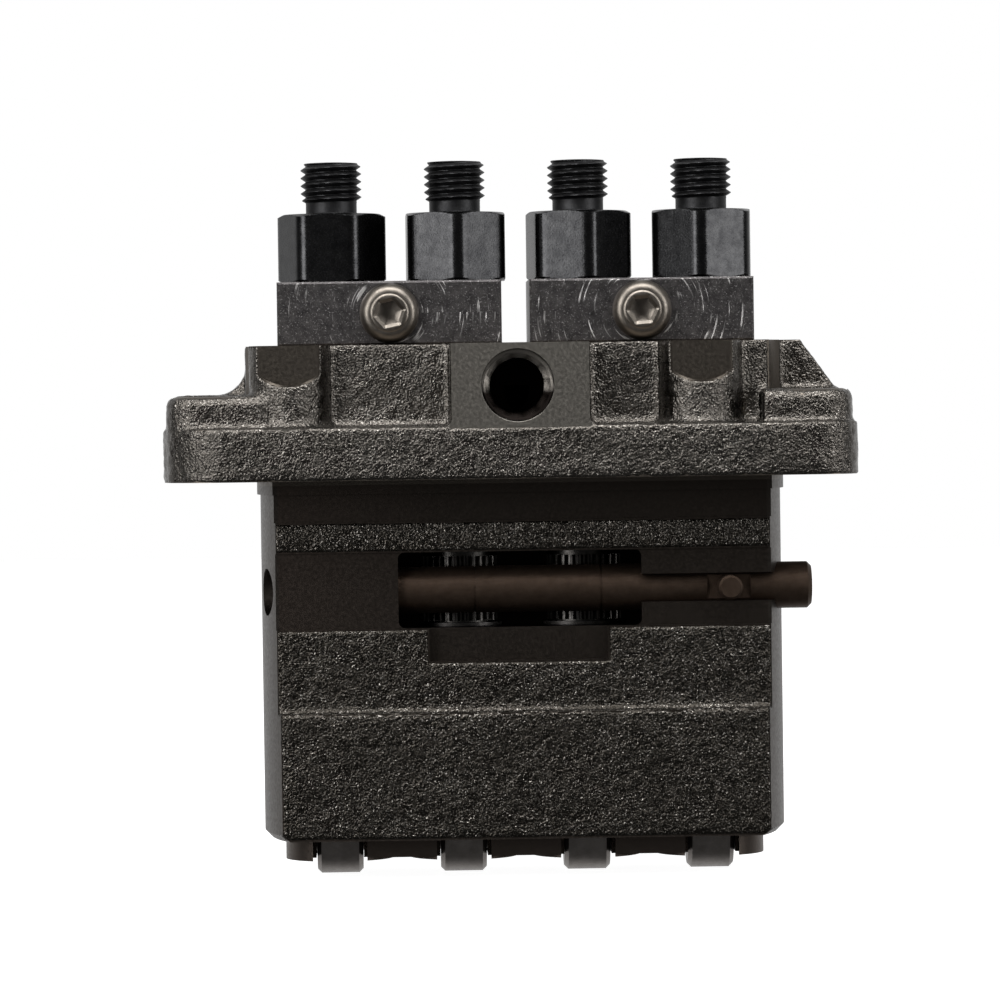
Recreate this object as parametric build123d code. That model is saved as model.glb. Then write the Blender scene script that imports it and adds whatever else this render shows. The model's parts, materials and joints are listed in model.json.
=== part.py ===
"""Diesel injection pump: a flange-mounted block with four pumping elements in line.

The block hangs in the engine's crankcase by its flange. Cams below it push four roller
tappets up, each tappet drives a plunger, and each plunger sends fuel through a delivery
valve and an outlet union on top. One toothed rod turns all four plungers to meter the fuel.

Frame: millimetres, Z up. X runs along the row of elements, with X = 0 half-way between
elements 2 and 3. Y = 0 holds the plunger axes and -Y is the side with the fuel inlet and
the rack window. Z = 0 is the underside of the flange, which seats on the crankcase.
"""
from build123d import *
from math import cos, pi, sin, tan, radians
import os

# ---------------------------------------------------------------- the row of elements
ELEMENTS = 4
PITCH = 24.0  # from one plunger to the next
STATIONS = [PITCH * (number - (ELEMENTS - 1) / 2) for number in range(ELEMENTS)]

# ---------------------------------------------------------------- clearances
FIT = 0.04  # radial gap of a part that slides or turns in its bore
LAPPED = 0.02  # radial gap of a plunger or a valve stem
PRESSED = 0.01  # radial gap that stands for a press fit
SEAT_GAP = 0.3  # end play between parts that would touch under oil
LOOSE = 0.1  # radial gap of a part that only drops into place

# ---------------------------------------------------------------- flange
FLANGE_LEFT = 68.4
FLANGE_RIGHT = 63.9
FLANGE_HALF_DEPTH = 30.0
FLANGE_THICKNESS = 9.9
FLANGE_LEFT_CORNER = 12.5
FLANGE_RIGHT_CORNER = 8.0
BOLT_LEFT_X = -60.0
BOLT_RIGHT_X = 56.0
BOLT_Y = 18.0
BOLT_HOLE_RADIUS = 4.25
SPOTFACE_RADIUS = 8.5
END_PAD_LEFT = 67.6
END_PAD_RIGHT = 63.0
END_PAD_HALF_DEPTH = 26.5
END_PAD_HEIGHT = 6.4
END_PAD_CORNER = 5.0
END_PAD_ROUND = 2.0

# ---------------------------------------------------------------- delivery head, above the flange
HEAD_LEFT = 52.7
HEAD_RIGHT = 50.0
HEAD_HALF_DEPTH = 19.0
HEAD_HEIGHT = 15.9
HEAD_CORNER = 4.0
HEAD_FOOT = 6.0  # hollow radius from the left wall down to its end pad
FOOT_ROUND = 1.5  # hollow radius where the cast walls meet the flange
BOSS_LEFT_X = -44.3
BOSS_RIGHT_X = 34.3
BOSS_RADIUS = 7.7
BOSS_REACH = 27.0
FACING_CUTTER_RADIUS = 8.8
FACING_DEPTH_Y = 24.6
FACING_RISE = 1.2  # cutter centre above the head's top
GUSSET_TOP_RIGHT = 54.2
GUSSET_FOOT_RIGHT = 61.0
GUSSET_HALF_WIDTH = 8.0

# ---------------------------------------------------------------- fuel inlet and gallery
INLET_X = -0.9
INLET_DROP = 8.1  # inlet axis below the head's top
INLET_PAD_LEFT = 13.5
INLET_PAD_RIGHT = 12.7
INLET_BORE_RADIUS = 6.9
INLET_MOUTH_RADIUS = 7.0
INLET_DEPTH = 13.5
GALLERY_Y = -8.5
GALLERY_RADIUS = 2.75
GALLERY_PLUG_RADIUS = 4.0
GALLERY_PLUG_LENGTH = 7.0
PLUG_SOCKET_ACROSS_FLATS = 4.0
PLUG_SOCKET_DEPTH = 3.5
FEED_DRILL_RADIUS = 2.5

# ---------------------------------------------------------------- body, below the flange
BODY_RADIUS = 50.6  # the ends are turned about the Z axis
BODY_BOTTOM = -69.2
UPPER_HALF_DEPTH = 17.7
PANEL_HALF_DEPTH = 19.2
PANEL_TOP = -44.9
BODY_END_CHAMFER = 1.3
REGISTER_STEP = 0.65
REGISTER_HEIGHT = 2.75
RELIEF_BOTTOM = -8.1
RELIEF_DEPTH = 0.8
PAD_DEPTH = 0.4
GUIDE_WALL = 1.1
GUIDE_DROP = 4.6  # guide tubes' ends below the body
GUIDE_WEB_DROP = 3.9
GUIDE_SLOT_HALF_WIDTH = 5.25

# ---------------------------------------------------------------- rack window and slot
WINDOW_LEFT = -24.05
WINDOW_RIGHT = 22.65
WINDOW_RISE = 7.45  # above the rack's axis
WINDOW_DROP = 7.15  # below the rack's axis
WINDOW_CORNER = 1.3
WINDOW_FLOOR = 5.0  # in front of the row's axis
NOTCH_LEFT = -18.2
NOTCH_RIGHT = 16.1
NOTCH_HEIGHT = 6.4
NOTCH_DEPTH = 2.2
PIN_SLOT_GAP = 0.4  # above and below the rack's pin

# ---------------------------------------------------------------- control rack and sleeves
GEAR_MODULE = 0.5
PINION_TEETH = 32
ADDENDUM_SHARE = 0.9  # tooth height outside the pitch line, in modules
DEDENDUM_SHARE = 1.2  # and inside it
FLANK_ANGLE = radians(20)
TOOTH_SHARE = 0.42  # tooth thickness as a share of the tooth pitch, at the pitch line
RACK_TEETH_PER_ELEMENT = 15
PINION_FACE = 12.5
RACK_Z = -21.5
RACK_RADIUS = 4.5
RACK_PITCH_LINE = 3.3  # from the rod's axis to its pitch line
RACK_LEFT = -47.0
RACK_RIGHT = 55.6
RACK_END_CHAMFER = 0.8
RACK_PIN_X = 39.5
RACK_PIN_RADIUS = 2.3
RACK_PIN_SHANK = 1.9
RACK_PIN_UNDERCUT = 0.3
RACK_PIN_REACH = 10.4
RACK_PIN_SINK = 2.3
RACK_FLAT_HALF_WIDTH = 4.15
RACK_FLAT_DEPTH = 0.6
RACK_PIN_CHAMFER = 0.4
RACK_LINES = [-9.3, 15.0]  # setting lines turned round the rod
RACK_LINE_WIDTH = 0.4
RACK_LINE_DEPTH = 0.15
SLEEVE_RADIUS = 7.2
SLEEVE_TOP_GAP = 0.5  # from the sleeve to the roof of its chamber
SLEEVE_BOTTOM = -39.2
CHAMBER_HEADROOM = 1.5  # above the pinion
CHAMBER_GAP = 0.25  # from the pinion's tips to its chamber

# ---------------------------------------------------------------- delivery side
HOLDER_RADIUS = 8.95  # threaded part inside the head
HOLDER_BOTTOM_DROP = 10.0
HOLDER_CAVITY_RADIUS = 5.0
HOLDER_CAVITY_DROP = -0.8  # roof of the spring cavity, below the head's top
OUTLET_PASSAGE_RADIUS = 1.5
OUTLET_CONE_RADIUS = 4.0
OUTLET_CONE_DEPTH = 3.0
COLLAR_RADIUS = 7.5
HEX_SIDES = 6
HEX_ACROSS_FLATS = 19.0
HEX_CORNER_RADIUS = 10.5
HEX_HEIGHT = 13.3
HEX_CHAMFER = 0.9
HEX_TURNS = [25.5, 2.0, 11.3, -4.7]  # where each hexagon happened to stop, in degrees
NECK_RADIUS = 4.95
NECK_LENGTH = 2.8
OUTLET_THREAD_RADIUS = 5.9
OUTLET_THREAD_LENGTH = 7.2
OUTLET_THREAD_CHAMFER = 0.6
O_RING_DROP = 1.7
O_RING_WIRE_RADIUS = 0.46
O_RING_GROOVE_HALF_HEIGHT = 0.6
GASKET_INSET = 0.1  # its rim inside the valve seat's rim
GASKET_WALL = 2.8
GASKET_THICKNESS = 1.0
VALVE_SEAT_HEIGHT = 4.0
VALVE_BORE = 3.0
VALVE_HEAD_RADIUS = 4.2
VALVE_HEAD_HEIGHT = 2.0
VALVE_SPIGOT_RADIUS = 2.6
VALVE_SPIGOT_HEIGHT = 2.8
VALVE_STEM_LENGTH = 3.6
VALVE_FLUTE_RADIUS = 1.1
DELIVERY_SPRING_MEAN = 3.4
DELIVERY_SPRING_WIRE = 0.55
DELIVERY_SPRING_TURNS = 6

# ---------------------------------------------------------------- barrel and plunger
BARREL_RADIUS = 8.3
BARREL_SHOULDER = -6.0
BARREL_WAIST_RADIUS = 6.8
BARREL_WAIST_HALF_HEIGHT = 3.6
BARREL_SHOULDER_WIDTH = 1.8
BARREL_NECK_RECESS = 0.5  # its end above the roof of the pinion's chamber
BARREL_GUIDE_STEP = 0.5  # the sleeve's seat inside the neck's rim
BARREL_RECESS = 0.75  # its lower end above the pinion's lower face
BARREL_PORT_RADIUS = 1.4
DOWEL_RADIUS = 0.6
DOWEL_INSET = 0.9  # its axis inside the barrel's rim
DOWEL_LENGTH = 4.0
PLUNGER_RADIUS = 3.0
PLUNGER_TOP_BELOW_PORT = 2.5
PLUNGER_GROOVE_WIDTH = 1.2
PLUNGER_HELIX_RISE = 5.0
PLUNGER_ARM_INSET = 0.2  # arm ends inside the sleeve's outer face
PLUNGER_ARM_HALF_WIDTH = 1.42
PLUNGER_ARM_HEIGHT = 2.2
PLUNGER_ARM_RISE = 0.6  # arms above the sleeve's lower end, at the bottom of the stroke
PLUNGER_ARM_GAP = 0.08  # each side of an arm in its slot
PLUNGER_ARM_OVERRUN = 0.4  # left in the slot at full lift
PLUNGER_FOOT_RADIUS = 4.0
PLUNGER_FOOT_HEIGHT = 2.2
STROKE = 7.0

# ---------------------------------------------------------------- springs, tappets and rollers
TAPPET_BORE = 9.5
SPRING_MEAN = 8.4
SPRING_WIRE = 0.9
SPRING_TURNS = 7
CLOSED_COIL = 1.1  # rise of an end coil, in wire diameters
COIL_STEPS = 12  # straight lengths of wire in one turn
WIRE_SIDES = 6
UPPER_SEAT_THICKNESS = 1.5
LOWER_SEAT_THICKNESS = 1.8
SHIM_RADIUS = 4.2
SHIM_THICKNESS = 1.2
ROLLER_RADIUS = 7.5
ROLLER_WIDTH = 8.9
ROLLER_CHAMFER = 0.8
ROLLER_DROP = 7.6  # rollers' lowest points below the body
ROLLER_PIN_RADIUS = 3.2
ROLLER_PIN_INSET = 0.66  # pin ends inside the tappet's outer face
ROLLER_SIDE_GAP = 0.15
TAPPET_FORK = 3.9  # tips of the fork below the roller's axis
TAPPET_WEB = 2.5
TAPPET_RIM = 2.9  # height of the rim above the web
TAPPET_RIM_WALL = 2.4
TAPPET_GROOVE_DEPTH = 1.6
GUIDE_PIN_RADIUS = 1.9
GUIDE_PIN_DROP = 4.4  # guide pin's axis below the tappet's rim

# ---------------------------------------------------------------- clamps over the hexagons' collars
CLAMP_HEIGHT = 12.3
CLAMP_LENGTH = 43.2
CLAMP_SHIFTS = [-1.0, -0.4]  # from the middle of each pair of collars to its clamp's screw
CLAMP_HALF_DEPTH = 13.0
CLAMP_SPLIT = 0.25  # each jaw stops this far from the plane between them
CLAMP_GRIP_GAP = 0.02
CLAMP_CHAMFER = 0.4
SCREW_RADIUS = 3.0
SCREW_HOLE_GAP = 0.2
SCREW_END_INSET = 3.0  # screw's end inside the rear jaw's back
SCREW_HEAD_RADIUS = 5.75
SCREW_HEAD_HEIGHT = 3.3
SCREW_EDGE_HEIGHT = 0.6
SCREW_RISE = 6.1  # screw axis above the head's top
SCREW_SOCKET_ACROSS_FLATS = 4.4
SCREW_SOCKET_DEPTH = 2.4

# ---------------------------------------------------------------- sizes that follow from those above
GALLERY_Z = FLANGE_THICKNESS / 2
HEAD_TOP = FLANGE_THICKNESS + HEAD_HEIGHT
END_PAD_TOP = FLANGE_THICKNESS + END_PAD_HEIGHT
INLET_Z = HEAD_TOP - INLET_DROP
HOLDER_BOTTOM = HEAD_TOP - HOLDER_BOTTOM_DROP
HOLDER_CAVITY_TOP = HEAD_TOP - HOLDER_CAVITY_DROP
HEX_BOTTOM = HEAD_TOP + CLAMP_HEIGHT
HEX_TOP = HEX_BOTTOM + HEX_HEIGHT
NECK_TOP = HEX_TOP + NECK_LENGTH
OUTLET_TOP = NECK_TOP + OUTLET_THREAD_LENGTH
O_RING_Z = HEAD_TOP - O_RING_DROP
HOLDER_BORE = HOLDER_RADIUS + FIT
VALVE_SEAT_TOP = HOLDER_BOTTOM - GASKET_THICKNESS
BARREL_TOP = VALVE_SEAT_TOP - VALVE_SEAT_HEIGHT
BARREL_BORE = BARREL_RADIUS + LOOSE
BARREL_NECK_RADIUS = BARREL_RADIUS - BARREL_SHOULDER_WIDTH
BARREL_GUIDE_RADIUS = BARREL_NECK_RADIUS - BARREL_GUIDE_STEP
DOWEL_REACH = BARREL_RADIUS - DOWEL_INSET
GASKET_RADIUS = BARREL_RADIUS - GASKET_INSET
GASKET_BORE = GASKET_RADIUS - GASKET_WALL
NECK_BORE = BARREL_NECK_RADIUS + LOOSE
PLUNGER_BORE = PLUNGER_RADIUS + LAPPED
PLUNGER_TOP = GALLERY_Z - PLUNGER_TOP_BELOW_PORT
PINION_RADIUS = GEAR_MODULE * PINION_TEETH / 2
TOOTH_PITCH = pi * GEAR_MODULE
ADDENDUM = ADDENDUM_SHARE * GEAR_MODULE
DEDENDUM = DEDENDUM_SHARE * GEAR_MODULE
PINION_TIP = PINION_RADIUS + ADDENDUM
PINION_BOTTOM = RACK_Z - PINION_FACE / 2
CHAMBER_RADIUS = PINION_TIP + CHAMBER_GAP
CHAMBER_TOP = RACK_Z + PINION_FACE / 2 + CHAMBER_HEADROOM
RACK_Y = -(PINION_RADIUS + RACK_PITCH_LINE)
RACK_FLAT_Y = RACK_Y - RACK_RADIUS + RACK_FLAT_DEPTH
WINDOW_TOP = RACK_Z + WINDOW_RISE
WINDOW_BOTTOM = RACK_Z - WINDOW_DROP
NOTCH_BOTTOM = WINDOW_BOTTOM - NOTCH_HEIGHT
PIN_SLOT_HALF_HEIGHT = RACK_PIN_RADIUS + PIN_SLOT_GAP
BARREL_NECK_BOTTOM = CHAMBER_TOP + BARREL_NECK_RECESS
BARREL_BOTTOM = PINION_BOTTOM + BARREL_RECESS
SLEEVE_TOP = CHAMBER_TOP - SLEEVE_TOP_GAP
PLUNGER_ARM_BOTTOM = SLEEVE_BOTTOM + PLUNGER_ARM_RISE
PLUNGER_ARM_HALF_LENGTH = SLEEVE_RADIUS - PLUNGER_ARM_INSET
SLEEVE_SLOT_TOP = PLUNGER_ARM_BOTTOM + PLUNGER_ARM_HEIGHT + STROKE + PLUNGER_ARM_OVERRUN
SLEEVE_SLOT_HALF_WIDTH = PLUNGER_ARM_HALF_WIDTH + PLUNGER_ARM_GAP
SLEEVE_BORE = BARREL_GUIDE_RADIUS + FIT
UPPER_SEAT_TOP = PINION_BOTTOM - SEAT_GAP
UPPER_SEAT_BOTTOM = UPPER_SEAT_TOP - UPPER_SEAT_THICKNESS
GUIDE_RADIUS = TAPPET_BORE + GUIDE_WALL
GUIDE_BOTTOM = BODY_BOTTOM - GUIDE_DROP
GUIDE_WEB_BOTTOM = BODY_BOTTOM - GUIDE_WEB_DROP
TAPPET_RADIUS = TAPPET_BORE - FIT
ROLLER_PIN_HALF_LENGTH = TAPPET_RADIUS - ROLLER_PIN_INSET
RING_RADIUS = TAPPET_BORE - LOOSE
ROLLER_Z = BODY_BOTTOM - ROLLER_DROP + ROLLER_RADIUS
TAPPET_BOTTOM = ROLLER_Z - TAPPET_FORK
TAPPET_WEB_BOTTOM = ROLLER_Z + ROLLER_RADIUS + SEAT_GAP
TAPPET_WEB_TOP = TAPPET_WEB_BOTTOM + TAPPET_WEB
TAPPET_TOP = TAPPET_WEB_TOP + TAPPET_RIM
GUIDE_PIN_Z = TAPPET_TOP - GUIDE_PIN_DROP
SHIM_TOP = TAPPET_WEB_TOP + SHIM_THICKNESS
FOOT_TOP = SHIM_TOP + PLUNGER_FOOT_HEIGHT
LOWER_SEAT_TOP = FOOT_TOP + LOWER_SEAT_THICKNESS
CLAMP_GRIP = COLLAR_RADIUS + CLAMP_GRIP_GAP
SCREW_Z = HEAD_TOP + SCREW_RISE
SCREW_LENGTH = 2 * CLAMP_HALF_DEPTH - SCREW_END_INSET
BEYOND = 100.0  # reach of a cut that leaves the part
LOW = (Align.CENTER, Align.CENTER, Align.MIN)


# ---------------------------------------------------------------- shape helpers
def block(left, right, front, back, bottom, top):
    """A box given by its six faces."""
    size = Box(right - left, back - front, top - bottom, align=(Align.MIN, Align.MIN, Align.MIN))
    return Pos(left, front, bottom) * size


def disc(radius, bottom, top, x=0.0, y=0.0):
    """An upright cylinder."""
    return Pos(x, y, bottom) * Cylinder(radius, top - bottom, align=LOW)


def ring(outer, inner, bottom, top, x=0.0, y=0.0):
    """An upright cylinder with a bore."""
    return disc(outer, bottom, top, x, y) - disc(inner, bottom, top, x, y)


def rod_x(radius, left, right, y, z):
    """A cylinder that lies along X."""
    return Pos(left, y, z) * Rot(0, 90, 0) * Cylinder(radius, right - left, align=LOW)


def rod_y(radius, front, back, x, z):
    """A cylinder that lies along Y, from its front end to its back end."""
    return Pos(x, front, z) * Rot(-90, 0, 0) * Cylinder(radius, back - front, align=LOW)


def turned(outline):
    """A solid of revolution about Z from (radius, height) corners."""
    profile = make_face(Plane.XZ * Polyline(*outline, close=True))
    return revolve(profile, axis=Axis.Z)


def hexagon(across_flats, bottom, top, turn=0.0):
    """A six-sided prism with a corner towards -Y at turn 0."""
    outline = Rot(0, 0, -90 + turn) * RegularPolygon(across_flats / 2, HEX_SIDES, major_radius=False)
    return Pos(0, 0, bottom) * extrude(outline, top - bottom)


def coil(mean, wire, bottom, top, turns):
    """A compression spring with its end coils closed, the wire laid in short straight lengths."""
    closed = CLOSED_COIL * 2 * wire
    pitch = (top - bottom - 2 * wire - 2 * closed) / (turns - 2)
    route = []
    for step in range(turns * COIL_STEPS + 1):
        turn = step / COIL_STEPS
        ends = closed * (min(turn, 1) + max(turn - turns + 1, 0))
        rise = ends + pitch * min(max(turn - 1, 0), turns - 2)
        angle = 2 * pi * turn
        route.append((mean * cos(angle), mean * sin(angle), bottom + wire + rise))
    path = Polyline(*route)
    section = Plane(origin=path @ 0, z_dir=path % 0) * RegularPolygon(wire, WIRE_SIDES)
    return sweep(section, path, transition=Transition.RIGHT)


def at_stations(piece):
    """One copy of a piece at each element."""
    return [Pos(x, 0, 0) * piece for x in STATIONS]


def group(solids):
    """Several loose solids kept together as one node."""
    return Compound(children=[solid for solid in solids])


# ---------------------------------------------------------------- the housing
def flange_plate():
    plate = block(-FLANGE_LEFT, FLANGE_RIGHT, -FLANGE_HALF_DEPTH, FLANGE_HALF_DEPTH, 0, FLANGE_THICKNESS)
    uprights = plate.edges().filter_by(Axis.Z)
    plate = fillet(uprights.group_by(Axis.X)[0], FLANGE_LEFT_CORNER)
    uprights = plate.edges().filter_by(Axis.Z)
    return fillet(uprights.group_by(Axis.X)[-1], FLANGE_RIGHT_CORNER)


def seated(form):
    """A cast form on the flange, with a hollow round where its foot meets the flange's top."""
    plate = flange_plate()
    rim = plate.edges().filter_by_position(Axis.Z, FLANGE_THICKNESS, FLANGE_THICKNESS)
    joined = plate + form
    level = joined.edges().filter_by_position(Axis.Z, FLANGE_THICKNESS, FLANGE_THICKNESS)
    foot = [edge for edge in level if min(side.distance_to(edge @ 0.5) for side in rim) > LAPPED]
    return fillet(foot, FOOT_ROUND)


def end_pad(left, right, outer_group):
    """A raised pad under two flange bolts, rounded on the side away from the head."""
    pad = block(left, right, -END_PAD_HALF_DEPTH, END_PAD_HALF_DEPTH, 0, END_PAD_TOP)
    pad = fillet(pad.edges().filter_by(Axis.Z).group_by(Axis.X)[outer_group], END_PAD_CORNER)
    rim = pad.faces().sort_by(Axis.Z)[-1].edges()
    inner_x = right if outer_group == 0 else left
    return fillet([edge for edge in rim if abs(edge.center().X - inner_x) > LOOSE], END_PAD_ROUND)


def front_boss(x):
    """A round-nosed boss on the head's front wall."""
    nose_y = -(BOSS_REACH - BOSS_RADIUS)
    nose = disc(BOSS_RADIUS, FLANGE_THICKNESS, HEAD_TOP, x, nose_y)
    return nose + block(x - BOSS_RADIUS, x + BOSS_RADIUS, nose_y, 0, FLANGE_THICKNESS, HEAD_TOP)


def facing_cut(x):
    """The flat that a side cutter leaves on the top of a front boss."""
    return rod_y(FACING_CUTTER_RADIUS, -BEYOND, -FACING_DEPTH_Y, x, HEAD_TOP + FACING_RISE)


def delivery_head():
    core = block(-HEAD_LEFT, HEAD_RIGHT, -HEAD_HALF_DEPTH, HEAD_HALF_DEPTH, FLANGE_THICKNESS, HEAD_TOP)
    core = fillet(core.edges().filter_by(Axis.Z), HEAD_CORNER)
    head = seated(core) + seated(front_boss(BOSS_LEFT_X)) + seated(front_boss(BOSS_RIGHT_X))
    pad = block(
        -INLET_PAD_LEFT,
        INLET_PAD_RIGHT,
        -FLANGE_HALF_DEPTH,
        0,
        FLANGE_THICKNESS,
        HEAD_TOP,
    )
    return head + seated(pad) - facing_cut(BOSS_LEFT_X) - facing_cut(BOSS_RIGHT_X)


def end_gusset():
    """The web that slopes from the head's right wall down to the end of the flange."""
    outline = Polyline(
        (0, FLANGE_THICKNESS),
        (GUSSET_FOOT_RIGHT, FLANGE_THICKNESS),
        (GUSSET_FOOT_RIGHT, END_PAD_TOP),
        (GUSSET_TOP_RIGHT, HEAD_TOP),
        (0, HEAD_TOP),
        close=True,
    )
    web = extrude(make_face(Plane.XZ * outline), GUSSET_HALF_WIDTH, both=True)
    return web - block(-BEYOND, 0, -BEYOND, BEYOND, -BEYOND, BEYOND)


def left_foot():
    """The hollow that runs from the head's left wall into its end pad."""
    corner = block(
        -HEAD_LEFT - HEAD_FOOT,
        -HEAD_LEFT,
        -GUSSET_HALF_WIDTH,
        GUSSET_HALF_WIDTH,
        END_PAD_TOP,
        END_PAD_TOP + HEAD_FOOT,
    )
    hollow = rod_y(HEAD_FOOT, -BEYOND, BEYOND, -HEAD_LEFT - HEAD_FOOT, END_PAD_TOP + HEAD_FOOT)
    return corner - hollow


def body_plan(radius, half_depth):
    """Half-plan of the body: turned ends and two flat sides."""
    return Circle(radius) & Rectangle(2 * radius, 2 * half_depth)


def body_slab(radius, half_depth, bottom, top):
    return Pos(0, 0, bottom) * extrude(body_plan(radius, half_depth), top - bottom)


def body_block():
    upper = body_slab(BODY_RADIUS, UPPER_HALF_DEPTH, PANEL_TOP, 0)
    panel = body_slab(BODY_RADIUS, PANEL_HALF_DEPTH, BODY_BOTTOM, PANEL_TOP)
    register = body_slab(
        BODY_RADIUS + REGISTER_STEP, UPPER_HALF_DEPTH + REGISTER_STEP, -REGISTER_HEIGHT, 0
    )
    cone_top = BODY_BOTTOM + BODY_END_CHAMFER
    ends = turned(
        [
            (0, BODY_BOTTOM),
            (BODY_RADIUS - BODY_END_CHAMFER, BODY_BOTTOM),
            (BODY_RADIUS, cone_top),
            (BODY_RADIUS, cone_top + BODY_END_CHAMFER),
            (0, cone_top + BODY_END_CHAMFER),
        ]
    )
    foot = panel & ends
    rest = panel & block(-BEYOND, BEYOND, -BEYOND, BEYOND, cone_top + BODY_END_CHAMFER, PANEL_TOP)
    return upper + rest + foot + register


def tappet_guides():
    """The four short guide tubes below the body, joined by a web."""
    web = block(STATIONS[0], STATIONS[-1], -GUIDE_RADIUS, GUIDE_RADIUS, GUIDE_WEB_BOTTOM, BODY_BOTTOM)
    tubes = [disc(GUIDE_RADIUS, GUIDE_BOTTOM, BODY_BOTTOM, x) for x in STATIONS]
    return web, tubes


def element_bore():
    """Everything that is bored on the axis of one element, from above and from below."""
    return (
        disc(TAPPET_BORE, GUIDE_BOTTOM - BEYOND, UPPER_SEAT_TOP)
        + disc(CHAMBER_RADIUS, UPPER_SEAT_TOP, CHAMBER_TOP)
        + disc(NECK_BORE, CHAMBER_TOP, BARREL_SHOULDER)
        + disc(BARREL_BORE, BARREL_SHOULDER, HOLDER_BOTTOM)
        + disc(HOLDER_BORE, HOLDER_BOTTOM - SEAT_GAP, HEAD_TOP + BEYOND)
        + disc(DOWEL_RADIUS + PRESSED, BARREL_SHOULDER - DOWEL_LENGTH / 2, BARREL_SHOULDER, 0, DOWEL_REACH)
    )


def guide_slot():
    """The slots at the foot of a guide tube that let the cam pass."""
    return block(
        -GUIDE_SLOT_HALF_WIDTH, GUIDE_SLOT_HALF_WIDTH, -GUIDE_RADIUS, GUIDE_RADIUS, GUIDE_BOTTOM, BODY_BOTTOM
    )


def window_cut():
    """The rack window, the milled faces beside it, the notch below it and the pin's slot."""
    opening = block(WINDOW_LEFT, WINDOW_RIGHT, -BEYOND, -WINDOW_FLOOR, WINDOW_BOTTOM, WINDOW_TOP)
    opening = fillet(opening.edges().filter_by(Axis.Y), WINDOW_CORNER)
    faces = block(-BEYOND, BEYOND, -BEYOND, -UPPER_HALF_DEPTH + PAD_DEPTH, WINDOW_BOTTOM, WINDOW_TOP)
    notch = block(
        NOTCH_LEFT, NOTCH_RIGHT, -BEYOND, -UPPER_HALF_DEPTH + NOTCH_DEPTH, NOTCH_BOTTOM, WINDOW_BOTTOM
    )
    slot = block(
        WINDOW_RIGHT,
        BEYOND,
        -BEYOND,
        RACK_Y,
        RACK_Z - PIN_SLOT_HALF_HEIGHT,
        RACK_Z + PIN_SLOT_HALF_HEIGHT,
    )
    return [opening, faces, notch, slot]


def relief_cuts():
    """The band milled into the front and the back just below the register."""
    edge = UPPER_HALF_DEPTH - RELIEF_DEPTH
    front = block(-BEYOND, BEYOND, -BEYOND, -edge, RELIEF_BOTTOM, -REGISTER_HEIGHT)
    back = block(-BEYOND, BEYOND, edge, BEYOND, RELIEF_BOTTOM, -REGISTER_HEIGHT)
    return [front, back]


def fuel_cuts():
    """The inlet's tapped bore, the drilling behind it, the gallery and its plugged end."""
    inlet_end = -FLANGE_HALF_DEPTH + INLET_DEPTH
    bore = rod_y(INLET_BORE_RADIUS, -FLANGE_HALF_DEPTH, inlet_end, INLET_X, INLET_Z)
    mouth_depth = INLET_MOUTH_RADIUS - INLET_BORE_RADIUS
    mouth = Cone(INLET_MOUTH_RADIUS, INLET_BORE_RADIUS, mouth_depth, align=LOW)
    mouth = Pos(INLET_X, -FLANGE_HALF_DEPTH, INLET_Z) * Rot(-90, 0, 0) * mouth
    start = Vector(INLET_X, inlet_end, INLET_Z)
    finish = Vector(INLET_X, GALLERY_Y, GALLERY_Z)
    run = finish - start
    drill = Plane(origin=start, z_dir=run) * Cylinder(FEED_DRILL_RADIUS, run.length, align=LOW)
    gallery = rod_x(GALLERY_RADIUS, STATIONS[0], FLANGE_RIGHT, GALLERY_Y, GALLERY_Z)
    plug_seat = rod_x(
        GALLERY_PLUG_RADIUS + PRESSED, FLANGE_RIGHT - GALLERY_PLUG_LENGTH, FLANGE_RIGHT, GALLERY_Y, GALLERY_Z
    )
    return [bore, mouth, drill, gallery, plug_seat]


def bolt_cuts():
    cuts = []
    for x in (BOLT_LEFT_X, BOLT_RIGHT_X):
        for y in (-BOLT_Y, BOLT_Y):
            cuts.append(disc(BOLT_HOLE_RADIUS, 0, BEYOND, x, y))
            cuts.append(disc(SPOTFACE_RADIUS, END_PAD_TOP, BEYOND, x, y))
    return cuts


def guide_pin_hole():
    return rod_y(GUIDE_PIN_RADIUS + PRESSED, 0, PANEL_HALF_DEPTH, 0, GUIDE_PIN_Z)


def make_housing():
    web, tubes = tappet_guides()
    housing = delivery_head() + end_gusset() + left_foot()
    housing += end_pad(-END_PAD_LEFT, -HEAD_LEFT + HEAD_CORNER, 0)
    housing += end_pad(HEAD_RIGHT - HEAD_CORNER, END_PAD_RIGHT, -1)
    housing += body_block() + web + tubes
    cuts = fuel_cuts() + bolt_cuts() + window_cut() + relief_cuts()
    cuts += [rod_x(RACK_RADIUS + FIT, -BEYOND, BEYOND, RACK_Y, RACK_Z)]
    cuts += at_stations(element_bore()) + at_stations(guide_slot()) + at_stations(guide_pin_hole())
    return housing - cuts


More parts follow.
